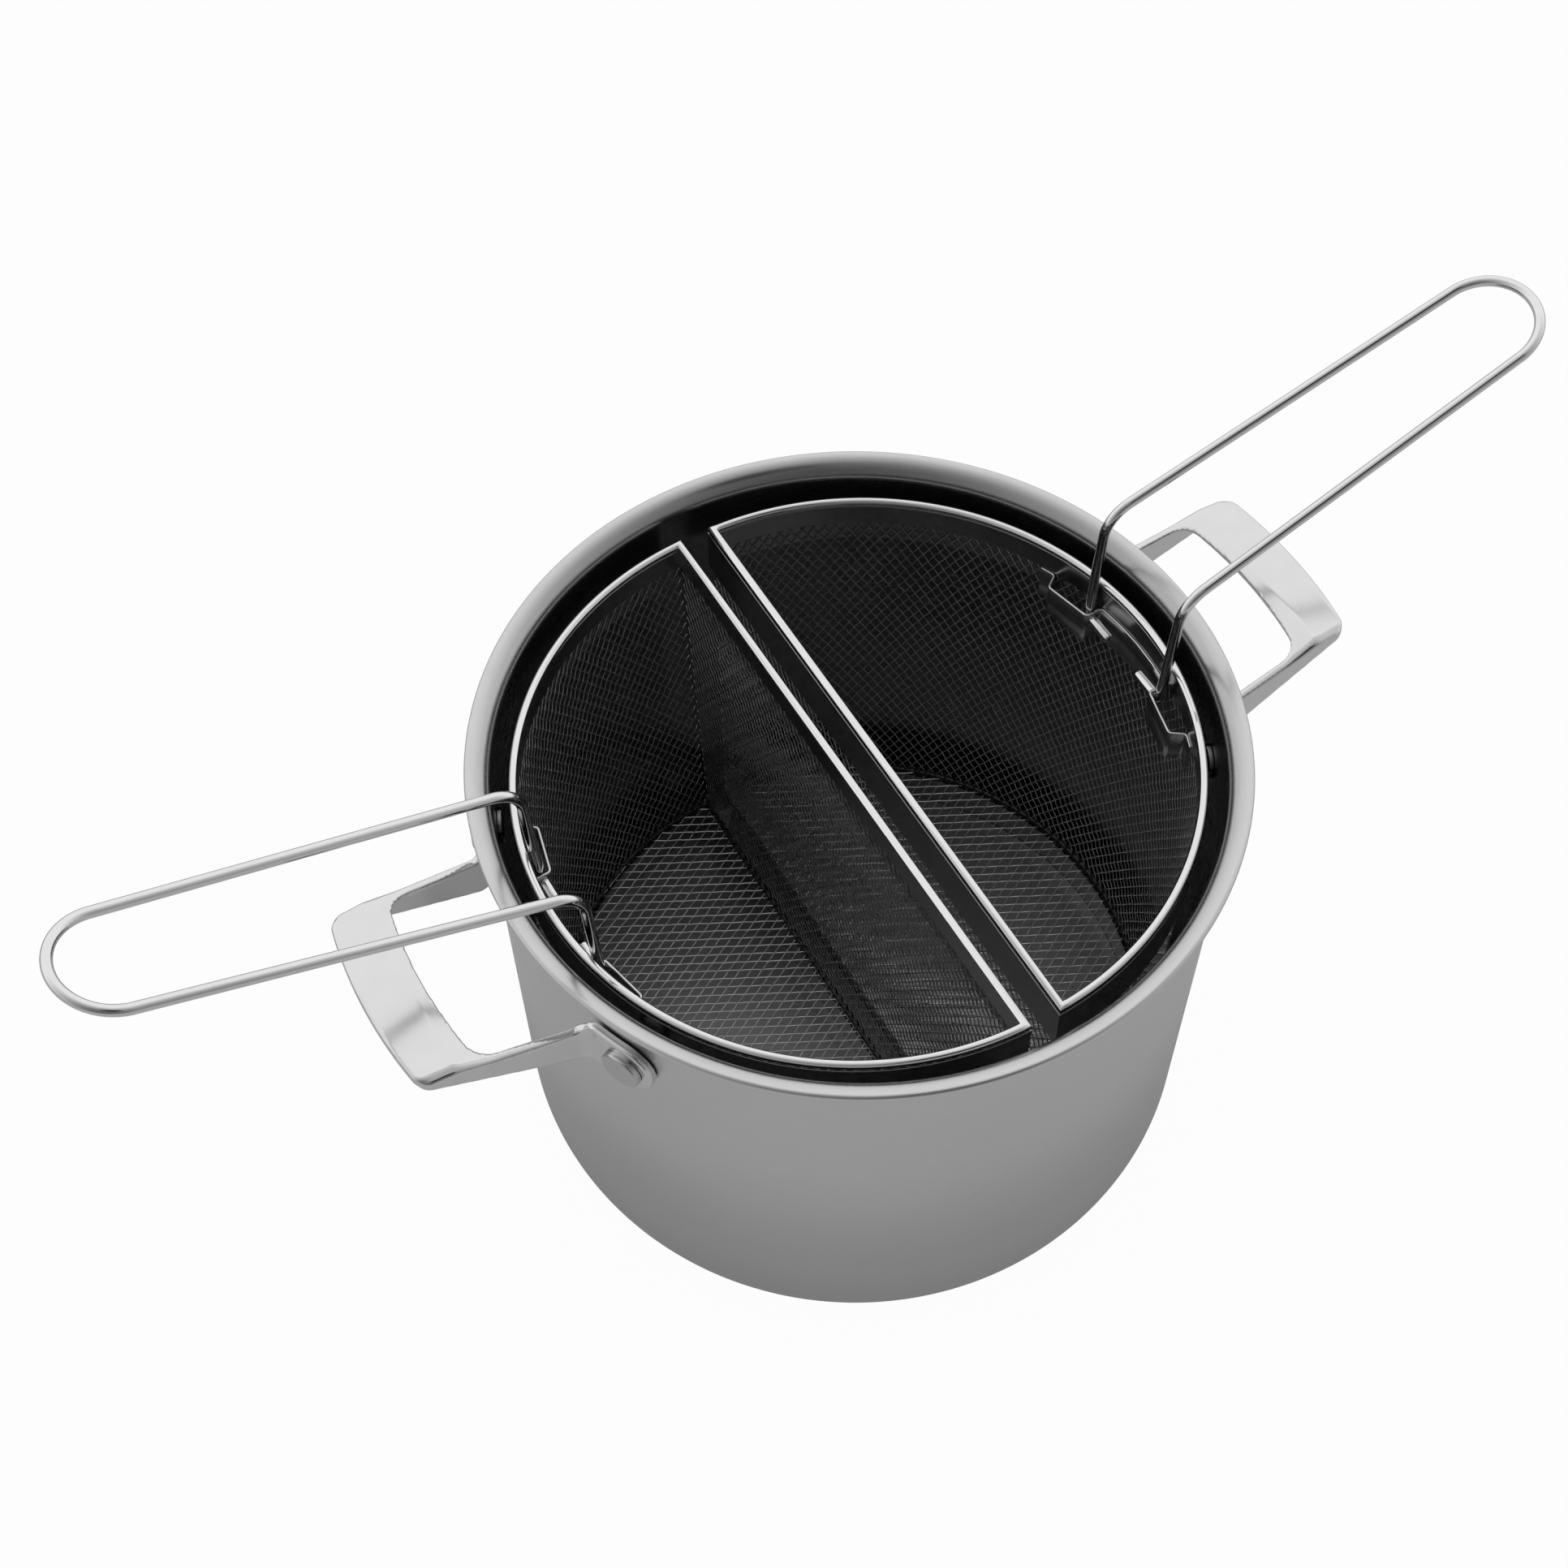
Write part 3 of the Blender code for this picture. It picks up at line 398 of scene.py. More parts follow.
# Key of each metal: name, grey and its spread, roughness and its spread, fineness of the lines, relief
FINISHES = {
    # painted shade: the outer wall's grey is darkened towards the base by the height shares below
    "wall": ("wall_steel_painted_shade", 0.68, 0.015, 0.3, 0.03, 900, 0.05),
    # painted shade: the inside's grey is darkened below the lip by the height shares below
    "inside": ("polished_inside_painted_shade", 0.62, 0.03, 0.26, 0.04, 900, 0.04),
    # painted shade: the pot's floor is a darker grey than its walls
    "floor": ("brushed_floor_painted_shade", 0.33, 0.02, 0.3, 0.04, 1400, 0.08),
    "cast": ("cast_steel", 0.72, 0.025, 0.14, 0.03, 120, 0.03),
    "rivet": ("rivet_steel", 0.56, 0.03, 0.24, 0.05, 300, 0.05),
    # painted shade: the rivet heads inside the pot are a darker copy of the rivet steel
    "inner_rivet": ("inner_rivet_painted_shade", 0.22, 0.03, 0.16, 0.04, 300, 0.05),
    "bright": ("bright_wire", 0.76, 0.02, 0.05, 0.02, 400, 0.02),
    "band": ("band_steel", 0.42, 0.03, 0.22, 0.04, 300, 0.03),
    # painted shade: the foot is a darker copy of the band steel
    "foot": ("foot_painted_shade", 0.2, 0.03, 0.22, 0.04, 300, 0.03),
    "bracket": ("bracket_steel", 0.6, 0.03, 0.2, 0.04, 400, 0.03),
    # painted shade: the flat nets are a darker copy of the net wire
    "flat_mesh": ("flat_mesh_painted_shade", 0.5, 0.05, 0.16, 0.05, 300, 0),
    "mesh": ("mesh_steel", 0.72, 0.05, 0.16, 0.05, 300, 0),
    # painted light: the floor nets are a lighter copy of the net wire
    "floor_mesh": ("floor_mesh_painted_light", 0.92, 0.05, 0.2, 0.05, 300, 0),
    # painted shade: the hem is near black
    "hem": ("hem_painted_shade", 0.08, 0.03, 0.35, 0.05, 300, 0),
}
ROUND_LINES = (0.012, 1, 1)  # lines round the axis: radius of a turn, share of height, share of reach
LINE_DETAIL = 4
CLOUD_DETAIL = 3
CLOUD_SCALE = 22
NOISE_SPAN = (0.6, 1.4)  # where nearly all of two noises added lies
RELIEF_DEPTH = 0.0001
# Share of the grey at each height, which paints shade: the inside darker below the lip, and the outside
# darker towards the base
INSIDE_SHADE_SHARES = ((0.0, 0.4), (0.150, 0.4), (0.1805, 0.5), (0.1866, 0.76), (POT_HEIGHT, 1))
OUTSIDE_SHADE_SHARES = ((0.0, 0.7), (0.05, 0.8), (0.13, 1), (POT_HEIGHT, 1))


def nodes_of(name):
    """A new material with its node tree and its shader."""
    material = bpy.data.materials.new(name)
    material.use_nodes = True
    tree = material.node_tree
    return material, tree, tree.nodes["Principled BSDF"]


def math_node(tree, operation, first, second=None):
    """The output of a math node on values or sockets."""
    node = tree.nodes.new("ShaderNodeMath")
    node.operation = operation
    for socket, value in zip(node.inputs, (first, second)):
        if hasattr(value, "is_linked"):
            tree.links.new(value, socket)
        elif value is not None:
            socket.default_value = value
    return node.outputs[0]


def ranged(tree, value, source, target):
    """The output of a node that maps a value from one range to another."""
    node = tree.nodes.new("ShaderNodeMapRange")
    for name, number in zip(("From Min", "From Max", "To Min", "To Max"), (*source, *target)):
        node.inputs[name].default_value = number
    tree.links.new(value, node.inputs["Value"])
    return node.outputs[0]


def noise(tree, place, scale, detail):
    """The output of a noise texture at a place."""
    node = tree.nodes.new("ShaderNodeTexNoise")
    node.inputs["Scale"].default_value = scale
    node.inputs["Detail"].default_value = detail
    tree.links.new(place, node.inputs["Vector"])
    return node.outputs["Fac"]


def round_place(tree, place, radius, height_share, radius_share):
    """A place for texture that is drawn out round the pot's axis."""
    apart = tree.nodes.new("ShaderNodeSeparateXYZ")
    tree.links.new(place, apart.inputs[0])
    x, y, z = apart.outputs
    turn = math_node(tree, "ARCTAN2", y, x)
    squares = math_node(tree, "ADD", math_node(tree, "MULTIPLY", x, x), math_node(tree, "MULTIPLY", y, y))
    reach = math_node(tree, "SQRT", squares)
    together = tree.nodes.new("ShaderNodeCombineXYZ")
    parts = ((turn, radius), (reach, radius_share), (z, height_share))
    for socket, (value, share) in zip(together.inputs, parts):
        tree.links.new(math_node(tree, "MULTIPLY", value, share), socket)
    return together.outputs[0]


def ramp(tree, value, stops):
    """The output of a soft ramp of greys over a value from 0 to 1, as (place, grey) stops."""
    node = tree.nodes.new("ShaderNodeValToRGB")
    node.color_ramp.interpolation = "EASE"
    elements = node.color_ramp.elements
    while len(elements) < len(stops):
        elements.new(0.5)
    for element, (place, grey) in zip(elements, stops):
        element.position = place
        element.color = (grey, grey, grey, 1)
    tree.links.new(value, node.inputs["Fac"])
    return node.outputs["Color"]


def steel(name, grey, spread, roughness, rough_spread, scale, bump, drawn, shade_heights):
    """Steel with fine lines and a broad, faint cloudiness.

    Drawn is None, or gives the lines' run round the pot's axis. The last argument is None, or gives (height,
    share) stops of painted shade that darken the grey.
    """
    material, tree, shader = nodes_of(name)
    links = tree.links
    place = tree.nodes.new("ShaderNodeTexCoord").outputs["Object"]
    fine = noise(tree, round_place(tree, place, *drawn) if drawn else place, scale, LINE_DETAIL)
    both = math_node(tree, "ADD", fine, noise(tree, place, CLOUD_SCALE, CLOUD_DETAIL))
    tint = ranged(tree, both, NOISE_SPAN, (grey - spread, grey + spread))
    # Painted shade: the grey is darkened by height, on the pot's inside below the lip and its outside
    # towards the base.
    if shade_heights:
        apart = tree.nodes.new("ShaderNodeSeparateXYZ")
        links.new(place, apart.inputs[0])
        share = ranged(tree, apart.outputs["Z"], (0, POT_HEIGHT), (0, 1))
        share = ramp(tree, share, [(height / POT_HEIGHT, part) for height, part in shade_heights])
        tint = math_node(tree, "MULTIPLY", tint, share)
    links.new(tint, shader.inputs["Base Color"])
    rough = ranged(tree, both, NOISE_SPAN, (roughness - rough_spread, roughness + rough_spread))
    links.new(rough, shader.inputs["Roughness"])
    shader.inputs["Metallic"].default_value = 1
    if bump:
        relief = tree.nodes.new("ShaderNodeBump")
        relief.inputs["Strength"].default_value = bump
        relief.inputs["Distance"].default_value = RELIEF_DEPTH
        links.new(fine, relief.inputs["Height"])
        links.new(relief.outputs[0], shader.inputs["Normal"])
    return material


def made_materials():
    """Every metal of the pot, by its key in the finishes."""
    # The wall and the inside get painted shade by height; the floor only its round lines.
    shade_heights = {"wall": OUTSIDE_SHADE_SHARES, "inside": INSIDE_SHADE_SHARES, "floor": None}
    metals = {}
    for key, finish in FINISHES.items():
        metals[key] = steel(*finish, ROUND_LINES if key in shade_heights else None, shade_heights.get(key))
    return metals


# Pot

def pot_profile():
    """The pot's sheet from the middle of its floor, up inside, over the lip and down outside."""
    below = BASE_SWEEP - BASE_EDGE
    sweep_center = (WALL_RADIUS - BASE_SWEEP, BASE_EDGE + below * math.sin(BASE_TURN))
    edge_center = (sweep_center[0] + below * math.cos(BASE_TURN), BASE_EDGE)
    middle = WALL_RADIUS - WALL / 2
    flare = (LIP_RADIUS - WALL_RADIUS) / (1 - math.cos(FLARE_LEAN))
    flare_start = POT_HEIGHT - WALL / 2 - flare * math.sin(FLARE_LEAN)
    flare_center = (middle + flare, flare_start)
    lip_center = (LIP_RADIUS - WALL / 2, POT_HEIGHT - WALL / 2)
    quarter = math.pi / 2
    steps = PROFILE_STEPS
    inside = arc(edge_center, BASE_EDGE - WALL, -quarter, -BASE_TURN, steps // 2)
    inside += arc(sweep_center, BASE_SWEEP - WALL, -BASE_TURN, 0, steps)[1:]
    inside += arc(flare_center, flare + WALL / 2, math.pi, math.pi - FLARE_LEAN, steps)
    lip = arc(lip_center, WALL / 2, math.pi - FLARE_LEAN, -FLARE_LEAN, steps)[1:-1]
    outside = arc(flare_center, flare - WALL / 2, math.pi - FLARE_LEAN, math.pi, steps)
    outside += arc(sweep_center, BASE_SWEEP, 0, -BASE_TURN, steps)
    outside += arc(edge_center, BASE_EDGE, -BASE_TURN, -quarter, steps // 2)[1:]
    polished = sum(height > lip_center[1] + WALL / 2 * math.sin(POLISHED_TURN) for _, height in lip)
    return [(0, WALL)] + inside + lip + outside + [(0, 0)], len(inside) + polished


def add_pot(metals):
    """The pot's shell, polished inside and over the lip, and satin outside, with painted shade darkening it
    low down.
    """
    profile, polished_count = pot_profile()
    points, faces = lathe(profile, POT_STEPS)
    pot = shown("pot_shell", points, faces, metals["inside"], sharp=50)
    pot.data.materials.append(metals["wall"])
    pot.data.materials.append(metals["floor"])
    count = len(profile) - 2
    # The floor's faces take the darker floor steel, a painted shade.
    for face in pot.data.polygons:
        ring = [v % count for v in face.vertices if v < count * POT_STEPS]
        if min(ring) >= polished_count:
            face.material_index = 1
        elif max(ring) == 0:
            face.material_index = 2
    facing_out(pot)
    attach(pot, "pot")
    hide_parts("pot_body")


# Cast side handles

def arm_section(width, bottom, top, shoulder, drop):
    """An upright bar as (across, height) points: soft edges, and the outer top one rounded over further."""
    half = width / 2
    section = [
        (ARM_EDGE - half, bottom), (half - ARM_EDGE, bottom), (half, bottom + ARM_EDGE),
        (half, top - ARM_EDGE), (half - ARM_EDGE, top),
    ]
    for step in range(EDGE_STEPS + 1):
        turn = math.pi / 2 * step / EDGE_STEPS
        section.append((shoulder * (1 - math.sin(turn)) - half, top - drop * (1 - math.cos(turn))))
    return section + [(-half, bottom + ARM_EDGE)]


def tab_stations():
    """The tab on the wall, from its round end to its bend: path points and sections."""
    radius = WALL_RADIUS + GAP + TAB_THICKNESS / 2
    rivet = math.asin(RIVET_SPREAD / WALL_RADIUS)
    leave = math.asin((ARM_ROOT_SPREAD + ARM_BEND_RUN) / radius)
    stations = []
    for step in range(TAB_STEPS):
        share = math.cos(math.pi / 2 * (step + 0.5) / TAB_STEPS)
        half = TAB_RADIUS * math.sqrt(1 - share ** 2)
        edge = min(2 * ARM_EDGE, half / 2)
        point = radial(rivet + share * TAB_RADIUS / radius, radius, 0).xy
        section = arm_section(TAB_THICKNESS, RIVET_HEIGHT - half, RIVET_HEIGHT + half, edge, edge)
        stations.append((point, section))
    bottom, top, edge = RIVET_HEIGHT - TAB_RADIUS, RIVET_HEIGHT + TAB_RADIUS, 2 * ARM_EDGE
    for step in range(TAB_RUN_STEPS):
        point = radial(rivet + (leave - rivet) * step / TAB_RUN_STEPS, radius, 0).xy
        stations.append((point, arm_section(TAB_THICKNESS, bottom, top, edge, edge)))
    return stations


def arm_bend():
    """The middle line of the round bend from the tab out to the arm, as points."""
    radius = WALL_RADIUS + GAP + TAB_THICKNESS / 2
    leave = math.asin((ARM_ROOT_SPREAD + ARM_BEND_RUN) / radius)
    start = radial(leave, radius, 0).xy
    along = Vector((math.sin(leave), -math.cos(leave)))
    run = ARM_BEND_RUN / math.cos(leave)
    corner = start + along * run
    bend = run / math.tan((math.pi / 2 - leave) / 2)
    return bent([start - along * run, corner, corner + Vector((2 * run, 0))], [bend], BEND_STEPS)[1:-1]


def bend_stations():
    """The bend's path points and sections."""
    stations = []
    for step, point in enumerate(arm_bend()):
        share = step / BEND_STEPS
        thickness = TAB_THICKNESS + (ARM_THICKNESS - TAB_THICKNESS) * share
        bottom = RIVET_HEIGHT - TAB_RADIUS + ARM_HEEL * share
        top = RIVET_HEIGHT + TAB_RADIUS - ARM_DIP * (1 - math.cos(share * math.pi)) / 2
        edge = 2 * ARM_EDGE
        stations.append((point, arm_section(thickness, bottom, top, edge, edge)))
    return stations


def arm_spread(x):
    """The distance of the arm's middle line from the plane y = 0 at a place along X."""
    start = arm_bend()[-1].x
    share = (x - start) / (GRIP_OUTER - start)
    return ARM_ROOT_SPREAD + (ARM_GRIP_SPREAD - ARM_ROOT_SPREAD) * share


def arm_top(x, start):
    """The height of the arm's upper edge at a place along X."""
    root, crown = RIVET_HEIGHT + TAB_RADIUS - ARM_DIP, GRIP_TOP - CREASE
    knee, turn = GRIP_INNER - KNEE_RUN, GRIP_INNER + GRIP_TURN
    if x < knee:
        return root + (GRIP_TOP - KNEE_DROP - root) * (x - start) / (knee - start)
    return crown - (crown - GRIP_TOP + KNEE_DROP) * max(0, turn - x) / (turn - knee)


def arm_stations():
    """The arm from the end of its bend to the grip's outer corner: path points and sections."""
    start = arm_bend()[-1].x
    end = GRIP_OUTER - GRIP_OUTER_CORNER
    heel = RIVET_HEIGHT - TAB_RADIUS + ARM_HEEL
    keel = GRIP_TOP - GRIP_THICKNESS - ARM_KEEL
    stations = []
    for step in range(1, ARM_STEPS + 1):
        share = step / ARM_STEPS
        x = start + (end - start) * share
        soft = min(1, 2 * share)
        shoulder = 2 * ARM_EDGE + (SHOULDER_WIDTH - 2 * ARM_EDGE) * soft
        drop = 2 * ARM_EDGE + (SHOULDER_DROP - 2 * ARM_EDGE) * soft
        bottom = heel + (keel - heel) * share
        section = arm_section(ARM_THICKNESS, bottom, arm_top(x, start), shoulder, drop)
        stations.append((Vector((x, arm_spread(x))), section))
    radius = GRIP_OUTER_CORNER - ARM_THICKNESS / 2
    center = Vector((end, arm_spread(end) - radius))
    top = arm_top(end, start)
    for step in range(1, CORNER_STEPS):
        share = step / CORNER_STEPS
        turn = share * math.pi / 2
        section = arm_section(
            ARM_THICKNESS, keel + ARM_KEEL * share, top, SHOULDER_WIDTH, SHOULDER_DROP,
        )
        stations.append((center + Vector((math.sin(turn), math.cos(turn))) * radius, section))
    return stations


def arm_mesh(side):
    """Points and faces of one arm with its tab. Side is 1 at +Y and -1 at -Y."""
    stations = tab_stations() + bend_stations() + arm_stations()
    path = [(point.x, point.y) for point, _ in stations]
    rings = []
    for index, (point, section) in enumerate(stations):
        across = outward(path, index, False)
        ring = [(point.x + across.x * a, side * (point.y + across.y * a), h) for a, h in section]
        rings.append([Vector(place) for place in ring])
    return skin(rings)


def rounded(corners, steps):
    """An outline whose (x, y, radius) corners are turned into arcs, where their radius isn't zero."""
    outline = []
    points = [Vector(corner[:2]) for corner in corners]
    for index, (corner, (_, _, radius)) in enumerate(zip(points, corners)):
        if not radius:
            outline.append(corner)
            continue
        center, start, end, _ = fillet(points[index - 1], corner, points[(index + 1) % len(points)], radius)
        turn = start.angle_signed(end)
        for step in range(steps + 1):
            angle = -turn * step / steps
            outline.append(center + Vector((
                start.x * math.cos(angle) - start.y * math.sin(angle),
                start.x * math.sin(angle) + start.y * math.cos(angle),
            )))
    return outline


def grip_outline():
    """The grip and its tails over the arms seen from above, anticlockwise: both long edges bow outwards."""
    tail = GRIP_INNER - GRIP_TAIL
    within = ARM_THICKNESS / 2 + GAP
    opening = arm_spread(GRIP_INNER) - within
    corner = GRIP_OUTER_CORNER - ARM_THICKNESS / 2
    shares = [k / BOW_STEPS for k in range(2 - BOW_STEPS, BOW_STEPS - 1)]
    corners = [(tail, -arm_spread(tail), 0), (GRIP_OUTER, -ARM_GRIP_SPREAD, corner)]
    corners += [(GRIP_OUTER + GRIP_BOW * (1 - s * s), s * ARM_GRIP_SPREAD, 0) for s in shares]
    corners += [(GRIP_OUTER, ARM_GRIP_SPREAD, corner), (tail, arm_spread(tail), 0)]
    corners += [(tail, arm_spread(tail) - within, 0), (GRIP_INNER, opening, GRIP_INNER_CORNER)]
    corners += [(GRIP_INNER + GRIP_BOW * (1 - s * s), -s * opening, 0) for s in shares]
    corners += [(GRIP_INNER, -opening, GRIP_INNER_CORNER), (tail, within - arm_spread(tail), 0)]
    return rounded(corners, GRIP_CORNER_STEPS)


def grip_mesh():
    """Points and faces of the flat grip, its edges rounded and its tails cut down to the arms."""
    outline = [(p.x, p.y) for p in grip_outline()]
    bottom = GRIP_TOP - GRIP_THICKNESS
    rings = []
    for low, sign in ((bottom + GRIP_EDGE, -1), (GRIP_TOP - GRIP_EDGE, 1)):
        for step in range(EDGE_STEPS + 1):
            turn = math.pi / 2 * (step if sign > 0 else EDGE_STEPS - step) / EDGE_STEPS
            inset, height = GRIP_EDGE * (1 - math.cos(turn)), low + sign * GRIP_EDGE * math.sin(turn)
            ring = []
            for index, point in enumerate(outline):
                out = outward(outline, index, True)
                ring.append(Vector((point[0] - out.x * inset, point[1] - out.y * inset, height)))
            rings.append(ring)
    mesh = bmesh.new()
    points, faces = skin(rings)
    corners = [mesh.verts.new(point) for point in points]
    for face in faces:
        mesh.faces.new([corners[k] for k in face])
    bmesh.ops.triangulate(mesh, faces=mesh.faces)
    knee = Vector((GRIP_INNER - KNEE_RUN, 0, GRIP_TOP - KNEE_DROP))
    turn = Vector((GRIP_INNER + GRIP_TURN, 0, GRIP_TOP))
    slope = (turn - knee).cross(Vector((0, 1, 0))).normalized()
    parts = mesh.verts[:] + mesh.edges[:] + mesh.faces[:]
    cut = bmesh.ops.bisect_plane(
        mesh, geom=parts, plane_co=turn, plane_no=slope if slope.z > 0 else -slope, clear_outer=True,
    )["geom_cut"]
    bmesh.ops.holes_fill(mesh, edges=[part for part in cut if isinstance(part, bmesh.types.BMEdge)])
    mesh.verts.index_update()
    points = [corner.co.copy() for corner in mesh.verts]
    faces = [tuple(corner.index for corner in face.verts) for face in mesh.faces]
    mesh.free()
    return points, faces


def add_side_handle(name, turn, metal):
    """A cast handle, its grip and arms melted into one skin with soft inner corners."""
    points, faces = [], []
    for part in (grip_mesh(), arm_mesh(1), arm_mesh(-1)):
        start = len(points)
        points += part[0]
        faces += [tuple(start + k for k in face) for face in part[1]]
    handle = facing_out(shown("cast_" + name, points, faces, metal))
    remesh = handle.modifiers.new("melt", "REMESH")
    remesh.mode = "VOXEL"
    remesh.voxel_size = MELT
    remesh.use_smooth_shade = True
    smooth = handle.modifiers.new("soften", "SMOOTH")
    smooth.factor = SOFTENING_SHARE
    smooth.iterations = SOFTENING
    handle.rotation_euler.z = turn
    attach(handle, "pot")
    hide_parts(name)


def add_rivets(metal, shaded_inner_metal):
    """Four rivets with softly edged heads, darkened by painted shade where they stand inside the pot."""
    inner_face = INNER_RADIUS
    outer_face = WALL_RADIUS + GAP + TAB_THICKNESS
    top = outer_face + GAP + HEAD_THICKNESS
    bottom = inner_face - 2 * GAP - INNER_HEAD_THICKNESS
    round_edge = HEAD_RADIUS - HEAD_FACE_RADIUS
    profile = [(0, top), (HEAD_FACE_RADIUS - round_edge, top)]
    center = (HEAD_RADIUS - round_edge, top - round_edge)
    profile += arc(center, round_edge, math.pi / 2, 0, RIVET_EDGE_STEPS)
    profile += [(HEAD_RADIUS, outer_face), (SHANK_RADIUS, outer_face), (SHANK_RADIUS, inner_face)]
    profile += [(INNER_HEAD_RADIUS, inner_face - GAP)]
    center = (INNER_HEAD_RADIUS - round_edge, bottom + round_edge)
    profile += arc(center, round_edge, 0, -math.pi / 2, RIVET_EDGE_STEPS)
    profile += [(0, bottom)]
    angle = math.asin(RIVET_SPREAD / WALL_RADIUS)
    places = {
        "right_back": angle,
        "left_back": math.pi - angle,
        "left_front": math.pi + angle,
        "right_front": -angle,
    }
    for place, turn in places.items():
        points, faces = lathe(profile, RIVET_STEPS)
        rivet = facing_out(shown("rivet_head_" + place, points, faces, metal))
        rivet.data.materials.append(shaded_inner_metal)
        # Painted shade: faces inside the pot take the darker rivet steel.
        for face in rivet.data.polygons:
            face.material_index = int(face.center.z < INNER_RADIUS)
        rivet.location.z = RIVET_HEIGHT
        rivet.rotation_euler = (0, math.pi / 2, turn)
        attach(rivet, "pot")
        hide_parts("rivet_" + place)


# Woven nets

def lean(height):
    """How far down the slope between the outer band and the hem a height is, from 0 to 1."""
    return min(1, max(0, (OUTER_BAND_BOTTOM - height) / (OUTER_BAND_BOTTOM - NET_BOTTOM)))


def net_radius(height):
    """The radius of the curved net's middle at a height."""
    top = RIM_RADIUS + NET_OUTSET
    return top + (HEM_RADIUS - top) * lean(height)


def net_flat(height):
    """The place along X of the flat net's middle at a height."""
    top = RIM_FLAT - NET_FLAT_OUTSET
    return top + (HEM_FLAT - top) * lean(height)


def on_curved_wall(u, v, half_length):
    """The place and outward direction on the curved net, from -1 to 1 along it and by height."""
    radius = net_radius(v)
    start = net_flat(v) + 2 * WALL_THREAD - MOON_CENTER
    angle = u / half_length * math.acos(start / radius)
    out = Vector((math.cos(angle), math.sin(angle), 0))
    return out * radius + Vector((MOON_CENTER, 0, v)), out


def on_flat_wall(u, v, half_length):
    """The same on the flat net."""
    flat = net_flat(v)
    reach = math.sqrt((net_radius(v) - 2 * WALL_THREAD) ** 2 - (flat - MOON_CENTER) ** 2)
    return Vector((flat, u / half_length * reach, v)), Vector((-1, 0, 0))


def on_floor(u, v, half_length):
    """The same on the floor net."""
    return Vector((u, v, HEM_HEIGHT)), Vector((0, 0, 1))


def threads(cell, low, high, reach):
    """Each thread of a diamond weave over a box, as its (u, v) points and how far each is lifted."""
    half_u, half_v = cell[0] / 2, cell[1] / 2
    count = int((high[0] - low[0]) / half_u + (high[1] - low[1]) / half_v) // 2 + 2
    middle = (low[0] + high[0]) / 2
    for family in (1, -1):
        for index in range(-count, count + 1):
            start = (middle + 2 * index * half_u, low[1])
            first, last = reach(start, (half_u, family * half_v))
            if last - first < SHORTEST_THREAD:
                continue
            one, other = math.ceil(first * 2 + MARK_CLEARANCE), math.floor(last * 2 - MARK_CLEARANCE)
            marks = [first] + [k / 2 for k in range(one, other + 1)] + [last]
            lift = [family * math.cos(math.pi * (t + index)) for t in marks]
            yield [(start[0] + t * half_u, start[1] + family * t * half_v) for t in marks], lift


def box_reach(low, high):
    """A reach that ends threads at the sides of a box."""
    def reach(start, step):
        first, last = -math.inf, math.inf
        for axis in (0, 1):
            one = (low[axis] - start[axis]) / step[axis]
            other = (high[axis] - start[axis]) / step[axis]
            first, last = max(first, min(one, other)), min(last, max(one, other))
        return first, last
    return reach


def moon_reach(radius, flat):
    """A reach that ends threads at a half-moon's outline."""
    def reach(start, step):
        a = step[0] ** 2 + step[1] ** 2
        away = (start[0] - MOON_CENTER, start[1])
        b = away[0] * step[0] + away[1] * step[1]
        c = away[0] ** 2 + away[1] ** 2 - radius ** 2
        root = b * b - a * c
        if root <= 0:
            return 0, 0
        first, last = (-b - math.sqrt(root)) / a, (-b + math.sqrt(root)) / a
        edge = (flat - start[0]) / step[0]
        return max(first, edge), last
    return reach


def woven(name, cell, low, high, reach, place, half_length, thread, material):
    """A net of crimped wires that pass over and under each other."""
    points, faces = [], []
    half = thread * math.cos(math.pi / 4)
    for marks, lifts in threads(cell, low, high, reach):
        centers, outs = [], []
        for (u, v), lift in zip(marks, lifts):
            center, out = place(u, v, half_length)
            centers.append(center + out * lift * THREAD_CRIMP)
            outs.append(out)
        start = len(points)
        last = len(centers) - 1
        for index, center in enumerate(centers):
            along = (centers[min(index + 1, last)] - centers[max(index - 1, 0)]).normalized()
            out = (outs[index] - along * outs[index].dot(along)).normalized()
            across = along.cross(out)
            for o, a in ((half, half), (-half, half), (-half, -half), (half, -half)):
                points.append(center + out * o + across * a)
        for index in range(last):
            near, far = start + 4 * index, start + 4 * index + 4
            for k in range(4):
                following = (k + 1) % 4
                faces.append((near + k, near + following, far + following, far + k))
        end = start + 4 * last
        faces += [(start + 3, start + 2, start + 1, start), (end, end + 1, end + 2, end + 3)]
    return shown(name, points, faces, material, sharp=100)


def basket_nets(side, metals):
    """The three nets of a basket, woven at full fineness."""
    half_curved = math.pi * RIM_RADIUS / 2
    low, high = NET_BOTTOM - NET_TUCK, BAND_TOP
    box = ((-half_curved, low), (half_curved, high))
    curved = woven(
        side + "_curved_weave", WALL_DIAMOND, *box, box_reach(*box), on_curved_wall, half_curved,
        WALL_THREAD, metals["mesh"],
    )
    box = ((-RIM_RADIUS, low), (RIM_RADIUS, high))
    # The flat net takes a darker copy of the net wire, a painted shade.
    flat = woven(
        side + "_flat_weave", WALL_DIAMOND, *box, box_reach(*box), on_flat_wall, RIM_RADIUS,
        WALL_THREAD, metals["flat_mesh"],
    )
    radius = HEM_RADIUS - HEM_THICKNESS / 4
    box = ((-2 * radius, 0), (2 * radius, 0))
    # The floor net takes a lighter copy of the net wire, a painted light.
    floor = woven(
        side + "_floor_weave", FLOOR_DIAMOND, *box, moon_reach(radius, HEM_FLAT), on_floor, 1,
        FLOOR_THREAD, metals["floor_mesh"],
    )
    return {"_curved_net": curved, "_flat_net": flat, "_floor_net": floor}


# Rim, bottom and bracket of a basket

